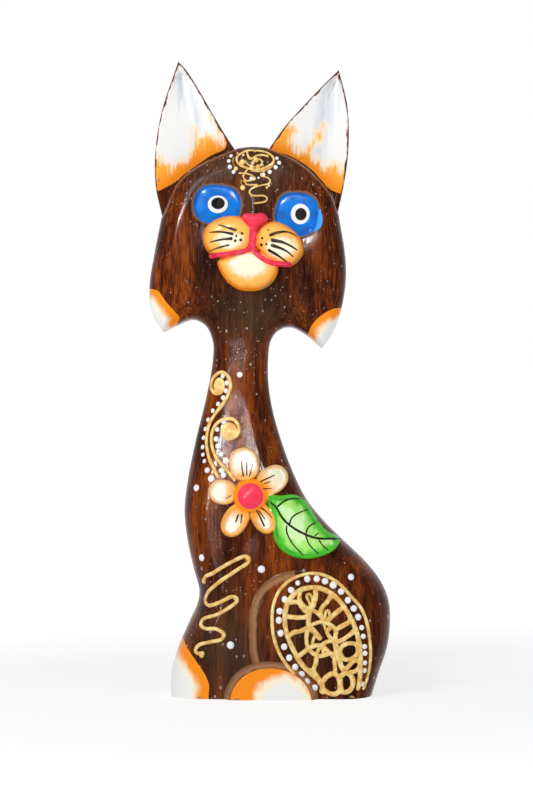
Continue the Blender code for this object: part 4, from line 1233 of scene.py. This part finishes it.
class Paint:
    """Builds the node tree of one material."""

    def __init__(self, name, **sockets):
        self.material = bpy.data.materials.new(name)
        self.material.use_nodes = True
        self.tree = self.material.node_tree
        self.shader = self.tree.nodes["Principled BSDF"]
        for socket, value in sockets.items():
            self.shader.inputs[socket.replace("_", " ")].default_value = value
        self.place = self.tree.nodes.new("ShaderNodeTexCoord").outputs["Object"]

    def feed(self, socket, value):
        """Links a socket, or sets its value."""
        if isinstance(value, bpy.types.NodeSocket):
            self.tree.links.new(value, socket)
        elif isinstance(value, tuple) and len(value) == 3 and socket.type == "RGBA":
            socket.default_value = (*value, 1.0)
        else:
            socket.default_value = value

    def math(self, operation, *values):
        node = self.tree.nodes.new("ShaderNodeMath")
        node.operation = operation
        for socket, value in zip(node.inputs, values):
            self.feed(socket, value)
        return node.outputs[0]

    def times(self, first, second):
        return self.math("MULTIPLY", first, second)

    def plus(self, first, second):
        return self.math("ADD", first, second)

    def mix(self, share, first, second):
        """One colour into another."""
        node = self.tree.nodes.new("ShaderNodeMix")
        node.data_type = "RGBA"
        self.feed(node.inputs["Factor"], share)
        self.feed(node.inputs["A"], first)
        self.feed(node.inputs["B"], second)
        return node.outputs["Result"]

    def blend(self, share, first, second):
        """One number into another."""
        node = self.tree.nodes.new("ShaderNodeMix")
        self.feed(node.inputs["Factor"], share)
        self.feed(node.inputs["A"], first)
        self.feed(node.inputs["B"], second)
        return node.outputs["Result"]

    def ramp(self, value, low, high):
        """A smooth step of a value from low to high."""
        node = self.tree.nodes.new("ShaderNodeMapRange")
        node.interpolation_type = "SMOOTHSTEP"
        self.feed(node.inputs["Value"], value)
        self.feed(node.inputs["From Min"], low)
        self.feed(node.inputs["From Max"], high)
        return node.outputs["Result"]

    def band(self, value, low, high, soft):
        """1 between two values, with soft sides."""
        rise = self.ramp(value, low - soft, low + soft)
        return self.times(rise, self.ramp(value, high + soft, high - soft))

    def stretched(self, scale):
        """The object's coordinates, with one scale along each axis."""
        node = self.tree.nodes.new("ShaderNodeMapping")
        self.feed(node.inputs["Vector"], self.place)
        node.inputs["Scale"].default_value = scale
        return node.outputs[0]

    def noise(self, scale, detail=2.0, rough=0.5):
        """Cloudy noise from 0 to 1, with one scale along each axis, in waves a metre."""
        node = self.tree.nodes.new("ShaderNodeTexNoise")
        self.feed(node.inputs["Vector"], self.stretched(scale))
        node.inputs["Scale"].default_value = 1.0
        node.inputs["Detail"].default_value = detail
        node.inputs["Roughness"].default_value = rough
        return node.outputs["Fac"]

    def specks(self, scale, size, share):
        """Scattered round specks: 1 in a speck, for a share of the cells."""
        node = self.tree.nodes.new("ShaderNodeTexVoronoi")
        self.feed(node.inputs["Vector"], self.stretched(scale))
        node.inputs["Scale"].default_value = 1.0
        split = self.tree.nodes.new("ShaderNodeSeparateColor")
        self.feed(split.inputs[0], node.outputs["Color"])
        reach = self.times(split.outputs[1], size)
        near = self.ramp(self.math("SUBTRACT", reach, node.outputs["Distance"]), 0.0, 0.03)
        return self.times(near, self.math("LESS_THAN", split.outputs[0], share))

    def field(self, name):
        """A field stored on the mesh."""
        node = self.tree.nodes.new("ShaderNodeAttribute")
        node.attribute_name = name
        return node.outputs["Fac"]

    def finish(self, color, roughness, height, distance):
        """Links the colour, the roughness and the bump."""
        self.feed(self.shader.inputs["Base Color"], color)
        self.feed(self.shader.inputs["Roughness"], roughness)
        node = self.tree.nodes.new("ShaderNodeBump")
        node.inputs["Distance"].default_value = distance
        self.feed(node.inputs["Height"], height)
        self.feed(self.shader.inputs["Normal"], node.outputs["Normal"])
        if self.shader.inputs["Coat Weight"].default_value > 0.0:
            self.feed(self.shader.inputs["Coat Normal"], node.outputs["Normal"])
        return self.material


# Colours, linear
ENAMEL_WHITE = (0.82, 0.82, 0.81)
# Painted shade in the ears' hollows
CREASE_SHADE_GREY = (0.52, 0.57, 0.66)
PETAL_CREAM = (0.95, 0.92, 0.82)
LIP_TAN = (0.93, 0.50, 0.15)
ENAMEL_CREAM = (0.93, 0.83, 0.63)
EAR_ORANGE = (0.95, 0.40, 0.05)
ENAMEL_ORANGE = (0.93, 0.27, 0.012)
MUZZLE_TAN = (0.95, 0.47, 0.10)
ENAMEL_DEEP_ORANGE = (0.60, 0.13, 0.008)
ENAMEL_BLUE = (0.004, 0.20, 0.74)
ENAMEL_DEEP_BLUE = (0.010, 0.12, 0.50)
ENAMEL_PALE_BLUE = (0.06, 0.33, 0.84)
ENAMEL_PINK = (0.92, 0.070, 0.135)
ENAMEL_DEEP_PINK = (0.80, 0.022, 0.062)
ENAMEL_GREEN = (0.085, 0.56, 0.035)
ENAMEL_DARK_GREEN = (0.020, 0.30, 0.028)
ENAMEL_LIGHT_GREEN = (0.38, 0.80, 0.17)
LEAF_PALE = (0.78, 0.92, 0.62)
ENAMEL_BLACK = (0.008, 0.007, 0.006)
PETAL_GREEN = (0.66, 0.74, 0.38)
STAIN_DARK = (0.0170, 0.0044, 0.0022)
STAIN_BROWN = (0.076, 0.0150, 0.0040)
STAIN_AMBER = (0.275, 0.056, 0.0052)
# Greyish umber of the painted sheen
SHEEN_UMBER = (0.095, 0.050, 0.027)
SHEEN_SMOKE = (0.030, 0.015, 0.009)
BEVEL_BROWN = (0.42, 0.205, 0.095)
# Painted shade at the edges of the wall bands
BEVEL_SHADE = (0.23, 0.105, 0.050)
EYE_RIM = (0.30, 0.19, 0.14)
# Tan of the muzzle's lower right walls, partly painted shade
SIDE_SHADE_TAN = (0.50, 0.27, 0.09)
WORN_RIM = (0.06, 0.018, 0.008)
# Painted highlight along the skull's rounded brow edge
BROW_HIGHLIGHT = (0.26, 0.075, 0.026)
BARE_WOOD = (0.42, 0.23, 0.11)
# Pale pores, and painted glints where the lacquer over the pores catches light
PORE_GLINT_GREY = (0.46, 0.42, 0.42)
GOLD = (0.75, 0.42, 0.10)
GOLD_LIGHT = (0.94, 0.73, 0.30)
GOLD_DEEP = (0.62, 0.31, 0.065)
PIPING_BROWN = (0.16, 0.075, 0.025)
DROP_WHITE = (0.80, 0.82, 0.85)
DROP_LIGHT = (0.90, 0.90, 0.90)
STROKE_BLACK = (0.012, 0.010, 0.008)
STROKE_BROWN = (0.045, 0.030, 0.018)

# The lacquer over stain and enamel, and the depth of the unevenness under it in metres
LACQUER = {"Coat_Weight": 0.8, "Coat_Roughness": 0.12, "Specular_IOR_Level": 0.0}
WOOD_ROUGHNESS = 0.36
ENAMEL_ROUGHNESS = 0.26
BODY_BUMP = 0.00007
PAINT_BUMP = 0.00008


def wood_color(paint):
    """Dark reddish stain with amber streaks of grain, painted sheen, light and shade, pores and painted
    glints.
    """
    mix, times, plus, ramp, field = paint.mix, paint.times, paint.plus, paint.ramp, paint.field
    broad = paint.noise((110, 110, 13), detail=3)
    streak = paint.noise((430, 430, 30), detail=3, rough=0.6)
    short = paint.noise((1150, 1150, 125), detail=2, rough=0.6)
    split = paint.tree.nodes.new("ShaderNodeSeparateXYZ")
    paint.feed(split.inputs[0], paint.place)
    on_face = paint.blend(ramp(split.outputs["Z"], 0.55 * HEIGHT, 0.64 * HEIGHT), 0.20, 0.42)
    tone = paint.blend(on_face, plus(times(broad, 0.58), times(streak, 0.42)), short)
    # Painted light and shade, with the grain's amber, move the stain's tone
    tone = plus(tone, times(field("amber_light_and_shade"), 0.10))
    color = mix(ramp(tone, 0.36, 0.52), STAIN_DARK, STAIN_BROWN)
    color = mix(ramp(tone, 0.47, 0.66), color, STAIN_AMBER)
    # Painted sheen: greyish umber over the stain in its zones, standing for a reflection
    painted_sheen = times(field("painted_sheen"), ramp(broad, 0.12, 0.48))
    color = mix(times(painted_sheen, 0.9), color, mix(streak, SHEEN_SMOKE, SHEEN_UMBER))
    color = mix(times(ramp(short, 0.50, 0.28), 0.4), color, STAIN_DARK)
    # Pale pores and painted glints: specks lighter than the stain
    big = paint.specks((215, 215, 160), 0.16, 0.7)
    small = paint.specks((430, 430, 330), 0.19, 0.6)
    tiny = paint.specks((640, 640, 560), 0.20, 0.35)
    pores_and_glints = paint.math("MAXIMUM", paint.math("MAXIMUM", big, small), tiny)
    return mix(times(pores_and_glints, 0.62), color, PORE_GLINT_GREY)


def body_material():
    """The stained wood with every enamel area on it, and the painted highlights, sheen and shade on them."""
    paint = Paint("painted_wood", **LACQUER)
    mix, times, plus, ramp, field = paint.mix, paint.times, paint.plus, paint.ramp, paint.field
    brush = paint.noise((520, 520, 90), detail=3, rough=0.6)
    daub = paint.noise((210, 210, 210), detail=3)
    ragged = plus(plus(brush, daub), -1.0)
    blotch = plus(times(paint.noise((330, 330, 330), detail=3), 2.0), -1.0)

    def edge(name, wander=0.25, soft=0.12):
        return ramp(plus(field(name), times(ragged, wander)), -soft, soft)

    def inward(name, start, end, wander, by=ragged):
        return ramp(plus(field(name), times(by, wander)), start, end)

    color = wood_color(paint)
    enamel = []

    def lay(layer, share, counts=True):
        nonlocal color
        color = mix(share, color, layer)
        if counts:
            enamel.append(share)

    # Painted highlight: a reddish-brown band along the brow line, on the skull's rounded edge
    brow = paint.band(plus(field("brow"), times(ragged, 1.2)), 0.15, 1.5, 0.35)
    lay(BROW_HIGHLIGHT, times(brow, 0.7), counts=False)
    # Wall bands of the thigh, hind foot and eyes: lighter in the middle, painted shade towards the edges
    walls = (
        ("thigh_wall", -0.35, 3.2, 0.9, BEVEL_BROWN), ("foot_wall", -0.3, 2.7, 0.9, BEVEL_BROWN),
        ("eye_wall", -0.15, 0.9, 0.75, EYE_RIM),
    )
    for wall, low, high, strength, edge_color in walls:
        share = paint.band(plus(field(wall), times(ragged, 1.0)), low, high, 0.3)
        crest = plus(field(wall), times(ragged, 1.4))
        crest = paint.band(crest, 0.35 * high, 0.8 * high, 0.3 * high)
        lay(mix(crest, BEVEL_SHADE, edge_color), times(share, strength), counts=False)

    ear = edge("ear")
    bristle = plus(paint.noise((840, 840, 110), detail=3, rough=0.65), -0.5)
    pulled = plus(times(bristle, 11.0), times(plus(daub, -0.5), 7.0))
    reach = plus(field("ear_white"), pulled)
    white = ramp(reach, -0.4, 3.0)
    cover = mix(ramp(field("ear"), 0.0, 9.0), ENAMEL_ORANGE, EAR_ORANGE)
    cover = mix(times(ramp(daub, 0.60, 0.74), 0.35), cover, ENAMEL_DEEP_ORANGE)
    cover = mix(times(ramp(reach, -3.0, 0.8), 0.8), cover, ENAMEL_CREAM)
    cover = mix(white, cover, ENAMEL_WHITE)
    # Painted shade: grey-blue streaks on the white near each ear's crease, in the hollow
    crease_shade = ramp(paint.noise((330, 330, 34), detail=3), 0.40, 0.66)
    crease_shade = times(crease_shade, ramp(field("crease"), 8.0, 1.0))
    cover = mix(times(times(crease_shade, white), 0.7), cover, CREASE_SHADE_GREY)
    lay(cover, ear)
    rim = plus(field("ear_edge"), times(ragged, 2.2))
    lay(ENAMEL_DEEP_ORANGE, times(times(ramp(rim, 1.15, 0.75), 0.5), ear), counts=False)
    lay(WORN_RIM, times(ramp(rim, 0.90, 0.45), ear), counts=False)

    cloud = times(plus(paint.noise((190, 190, 150), detail=2), -0.5), 2.0)
    wisp = plus(times(cloud, 0.5), ragged)
    for name, start, end in (("tuft", 2.2, 6.0), ("left_foot", 3.0, 7.5)):
        cover = mix(inward(name, start, end, 2.6, wisp), ENAMEL_ORANGE, ENAMEL_CREAM)
        cover = mix(inward(name, end - 1.6, end + 1.8, 2.6, wisp), cover, ENAMEL_WHITE)
        lay(cover, edge(name))

    cover = mix(inward("hind_white", -0.08, 0.26, 0.28, wisp), ENAMEL_ORANGE, ENAMEL_CREAM)
    cover = mix(inward("hind_white", 0.26, 0.54, 0.28, wisp), cover, ENAMEL_WHITE)
    lay(cover, edge("hind_foot", wander=0.1))

    blue = mix(ramp(daub, 0.35, 0.75), ENAMEL_BLUE, ENAMEL_DEEP_BLUE)
    lay(ENAMEL_PALE_BLUE, edge("eye_side", wander=0.1))
    lay(blue, edge("eye", wander=0.35))
    lay(ENAMEL_WHITE, ramp(field("iris"), -0.03, 0.03))
    lay(ENAMEL_BLACK, ramp(field("pupil"), -0.05, 0.05))

    cover = mix(inward("muzzle", 0.3, 3.0, 1.5, blotch), ENAMEL_ORANGE, MUZZLE_TAN)
    cover = mix(inward("cream", -0.12, 0.36, 0.6), cover, ENAMEL_CREAM)
    # Tan on the pads' and chin's lower right walls: partly bare wood, partly painted shade
    side = ramp(field("muzzle_side_shade"), 0.3, 0.6)
    side = times(side, ramp(field("muzzle"), 1.3, 0.8))
    cover = mix(side, cover, SIDE_SHADE_TAN)
    lay(cover, edge("muzzle", wander=0.1))
    lay(mix(daub, ENAMEL_PINK, ENAMEL_DEEP_PINK), edge("pink", wander=0.15))

    cover = mix(inward("leaf", 1.4, 5.0, 5.0), ENAMEL_GREEN, ENAMEL_LIGHT_GREEN)
    cover = mix(times(inward("leaf", 4.4, 8.0, 9.0, cloud), 0.6), cover, LEAF_PALE)
    groove = times(paint.band(field("leaf"), 1.2, 2.4, 0.5), ramp(daub, 0.35, 0.62))
    cover = mix(times(groove, 0.8), cover, ENAMEL_DARK_GREEN)
    lay(cover, edge("leaf", wander=0.05))

    near = plus(field("flower"), times(ragged, 6.0))
    cover = mix(ramp(near, 8.0, 15.5), EAR_ORANGE, PETAL_CREAM)
    lip = ramp(plus(field("petal"), times(blotch, 0.8)), 1.9, 0.9)
    cover = mix(times(lip, 0.85), cover, LIP_TAN)
    low = ramp(field("petal_low"), 0.0, 0.2)
    low = times(low, inward("petal_low", 3.4, 1.8, 2.0, cloud))
    cover = mix(times(low, 0.85), cover, EAR_ORANGE)
    green = times(inward("petal_right", 1.2, 3.0, 2.0), ramp(near, 11.5, 15.5))
    cover = mix(times(green, 0.6), cover, PETAL_GREEN)
    lay(cover, edge("petal", wander=0.05))
    lay(ENAMEL_ORANGE, ramp(field("flower"), 8.3, 8.1))
    lay(mix(daub, ENAMEL_PINK, ENAMEL_DEEP_PINK), ramp(field("flower"), 6.2, 5.9))

    chip = ramp(plus(field("chip"), times(ragged, 0.9)), 0.0, 0.15)
    lay(BARE_WOOD, chip, counts=False)

    covered = enamel[0]
    for share in enamel[1:]:
        covered = paint.math("MAXIMUM", covered, share)
    grain = paint.noise((1700, 1700, 120), detail=3, rough=0.6)
    peel = paint.blend(field("peel"), 0.3, 4.0)
    peel = times(paint.noise((1500, 1500, 1500), detail=1), peel)
    wave = paint.noise((330, 330, 200), detail=2)
    wood_height = plus(plus(times(grain, 0.35), peel), times(wave, 0.5))
    enamel_height = plus(times(brush, 0.6), times(wave, 0.6))
    height = paint.blend(covered, wood_height, enamel_height)
    roughness = paint.blend(covered, WOOD_ROUGHNESS, ENAMEL_ROUGHNESS)
    return paint.finish(color, roughness, height, BODY_BUMP)


def plain_material(name, low, high, roughness, **sockets):
    """One paint with a slight change of tone and an uneven skin."""
    paint = Paint(name, **sockets)
    cloud = paint.noise((380, 380, 380), detail=3)
    fine = paint.noise((1400, 1400, 1400), detail=2)
    color = paint.mix(paint.ramp(cloud, 0.35, 0.68), low, high)
    return paint.finish(color, roughness, paint.plus(cloud, paint.times(fine, 0.4)), PAINT_BUMP)


def make_figure():
    """The carved and painted body, which stands for the solid, and the raised paint on it."""
    places, faces, front_count, outline = carve_body()
    body = mesh_piece("cat_body", places, faces, body_material())
    body.data.set_sharp_from_angle(angle=math.radians(SHARP_OVER_DEGREES))
    for name, values in paint_maps(places, front_count, outline).items():
        stored = body.data.attributes.new(name, "FLOAT", "POINT")
        stored.data.foreach_set("value", np.asarray(values, np.float32))
    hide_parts("cat")

    drape = Drape(places, faces)
    for view, lines in GOLD_LINES:
        spread = LATTICE_SPREAD if view is HAUNCH_VIEW else LINE_SPREAD
        for width, knots in lines:
            width = width * spread
            drape.line(view, (width, width), knots, lift=GOLD_LIFT * width / view[0] * PIXEL)
    for column, row, radius, tall in SCROLL_ENDS:
        drape.drop(WHOLE_VIEW, column, row, radius, SCROLL_END_HEIGHT, segments=28, tall=tall)
    for view, drops in GOLD_DROPS:
        for drop in drops:
            drape.drop(view, *drop, GOLD_DROP_HEIGHT)
    gold = plain_material("gold_piping", GOLD, GOLD_LIGHT, 0.32, Coat_Weight=0.5, Coat_Roughness=0.10)
    drape.piece("gold_piping", gold)

    for view, lines in BROWN_LINES:
        for width, knots in lines:
            drape.line(view, (width, width), knots, BROWN_LIFT)
    drape.piece("brown_piping", plain_material("brown_piping", PIPING_BROWN, GOLD_DEEP, 0.34))

    for view, drops in WHITE_DROPS:
        for radius, spots in drops:
            for column, row in spots:
                drape.drop(view, column, row, radius, WHITE_DROP_HEIGHT)
    white = plain_material("white_drops", DROP_WHITE, DROP_LIGHT, 0.28, Coat_Weight=0.3)
    drape.piece("white_drops", white)

    for view, strokes in DARK_STROKES:
        for start, end, knots in strokes:
            drape.line(view, (start * STROKE_SPREAD, end * STROKE_SPREAD), knots, STROKE_LIFT, STROKE_SUNK)
    for view, drops in DARK_DROPS:
        for drop in drops:
            drape.drop(view, *drop, DARK_DROP_HEIGHT, segments=12, sunk=DARK_DROP_SUNK)
    dark = plain_material("dark_strokes", STROKE_BLACK, STROKE_BROWN, 0.35)
    drape.piece("dark_strokes", dark)

    for width, line in zip(MOUTH_WIDTHS, MOUTH_LINES):
        drape.line(WHOLE_VIEW, (width, LIP_TAPER * width), line, LIP_LIFT, LIP_SUNK)
    coat = {"Coat_Weight": 0.6, "Coat_Roughness": 0.05}
    drape.piece("pink_lips", plain_material("pink_lips", ENAMEL_DEEP_PINK, ENAMEL_PINK, 0.18, **coat))


def make_camera():
    """The photograph's camera: level, straight on, with a long lens."""
    data = bpy.data.cameras.new("camera")
    data.lens = LENS_MM
    data.sensor_width = SENSOR_MM
    data.clip_start = 0.05
    data.clip_end = 20.0
    camera = bpy.data.objects.new("camera", data)
    camera.location = CAMERA_PLACE
    camera.rotation_euler = (math.radians(90), 0.0, 0.0)
    bpy.context.scene.collection.objects.link(camera)
    bpy.context.scene.camera = camera


# Lights as (name, azimuth and elevation in degrees, distance and width in metres, power in watts, height as a
# share of the width, kind, and height in metres of the band that a grid leaves lit, or None without a grid)
LIGHTS = [
    ("key", -34, 36, 1.3, 0.5, 10.6, 1.0, "soft", None),
    ("fill", 44, 20, 1.4, 0.5, 3.1, 1.0, "soft", None),
    ("neck_shine", -7, 17, 1.25, 0.18, 0.030, 0.6, "shine", 0.160),
    ("chest_shine", -17, 4, 1.25, 0.26, 0.010, 0.3, "shine", 0.090),
    ("brow_shine", 2, 28, 1.25, 0.16, 0.4, 1.0, "shine", None),
    ("left_glint", -40, 46, 1.3, 0.05, 0.45, 1.0, "shine", None),
]
GRID_SPREAD = 7.0


def make_light(name, azimuth, elevation, distance, size, power, tall, kind, aim):
    """A light that looks at the figure: soft light without a mirror image, or shine alone.

    A light with an aim has a grid before it, and shines only on a band of the figure at that height.
    """
    data = bpy.data.lights.new(name, "AREA")
    data.shape = "RECTANGLE"
    data.size = size
    data.size_y = size * tall
    data.energy = power
    light = bpy.data.objects.new(name, data)
    a, e = math.radians(azimuth), math.radians(elevation)
    away = Vector((math.sin(a) * math.cos(e), -math.cos(a) * math.cos(e), math.sin(e)))
    light.location = Vector((0.0, 0.0, HEIGHT / 2)) + away * distance
    target = Vector((0.0, 0.0, HEIGHT / 2 if aim is None else aim))
    light.rotation_euler = (target - light.location).to_track_quat("-Z", "Y").to_euler()
    if aim is not None:
        data.spread = math.radians(GRID_SPREAD)
    light.visible_glossy = kind != "soft"
    light.visible_diffuse = kind != "shine"
    bpy.context.scene.collection.objects.link(light)


# Strength of the surroundings: as lighting, and in reflections from before and from behind the figure
WORLD_LIGHT = 0.29
WORLD_BEFORE = 0.06
WORLD_BEHIND = 0.75


def make_world():
    """White surroundings, bright behind the figure and dim in front of it in reflections."""
    world = bpy.data.worlds.new("studio")
    bpy.context.scene.world = world
    world.use_nodes = True
    tree = world.node_tree
    background = tree.nodes["Background"]
    path = tree.nodes.new("ShaderNodeLightPath")
    split = tree.nodes.new("ShaderNodeSeparateXYZ")
    tree.links.new(tree.nodes.new("ShaderNodeTexCoord").outputs["Generated"], split.inputs[0])
    behind = tree.nodes.new("ShaderNodeMapRange")
    behind.inputs["From Min"].default_value = -0.1
    behind.inputs["From Max"].default_value = 0.9
    behind.inputs["To Min"].default_value = WORLD_BEFORE
    behind.inputs["To Max"].default_value = WORLD_BEHIND
    tree.links.new(split.outputs["Y"], behind.inputs["Value"])
    by_ray = tree.nodes.new("ShaderNodeMix")
    by_ray.inputs["A"].default_value = WORLD_LIGHT
    tree.links.new(path.outputs["Is Glossy Ray"], by_ray.inputs["Factor"])
    tree.links.new(behind.outputs["Result"], by_ray.inputs["B"])
    amount = tree.nodes.new("ShaderNodeMath")
    amount.operation = "MAXIMUM"
    tree.links.new(path.outputs["Is Camera Ray"], amount.inputs[0])
    tree.links.new(by_ray.outputs["Result"], amount.inputs[1])
    background.inputs["Color"].default_value = (1.0, 1.0, 1.0, 1.0)
    tree.links.new(amount.outputs[0], background.inputs["Strength"])


# The floor's grey and half width in metres. Its glow rises over these distances from the figure
FLOOR_GREY = 0.24
FLOOR_REACH = 6.0
FLOOR_NEAR = 0.15
FLOOR_FAR = 0.5
FLOOR_GLOW_NEAR = 0.77
FLOOR_GLOW_FAR = 1.0


def make_floor():
    """A plain white floor, lifted to the white of the surroundings."""
    mesh = bmesh.new()
    bmesh.ops.create_grid(mesh, x_segments=1, y_segments=1, size=FLOOR_REACH)
    data = bpy.data.meshes.new("floor")
    mesh.to_mesh(data)
    mesh.free()
    material = bpy.data.materials.new("floor_white")
    material.use_nodes = True
    shader = material.node_tree.nodes["Principled BSDF"]
    shader.inputs["Base Color"].default_value = (FLOOR_GREY, FLOOR_GREY, FLOOR_GREY, 1.0)
    shader.inputs["Roughness"].default_value = 0.9
    shader.inputs["Specular IOR Level"].default_value = 0.0
    shader.inputs["Emission Color"].default_value = (1.0, 1.0, 1.0, 1.0)
    tree = material.node_tree
    length = tree.nodes.new("ShaderNodeVectorMath")
    length.operation = "LENGTH"
    tree.links.new(tree.nodes.new("ShaderNodeTexCoord").outputs["Object"], length.inputs[0])
    glow = tree.nodes.new("ShaderNodeMapRange")
    glow.inputs["From Min"].default_value = FLOOR_NEAR
    glow.inputs["From Max"].default_value = FLOOR_FAR
    glow.inputs["To Min"].default_value = FLOOR_GLOW_NEAR
    glow.inputs["To Max"].default_value = FLOOR_GLOW_FAR
    tree.links.new(length.outputs["Value"], glow.inputs["Value"])
    tree.links.new(glow.outputs["Result"], shader.inputs["Emission Strength"])
    data.materials.append(material)
    floor = bpy.data.objects.new("floor", data)
    bpy.context.scene.collection.objects.link(floor)
    floor.visible_glossy = False


make_figure()
make_camera()
make_world()
make_floor()
for light in LIGHTS:
    make_light(*light)
bpy.context.scene.view_settings.view_transform = "Standard"
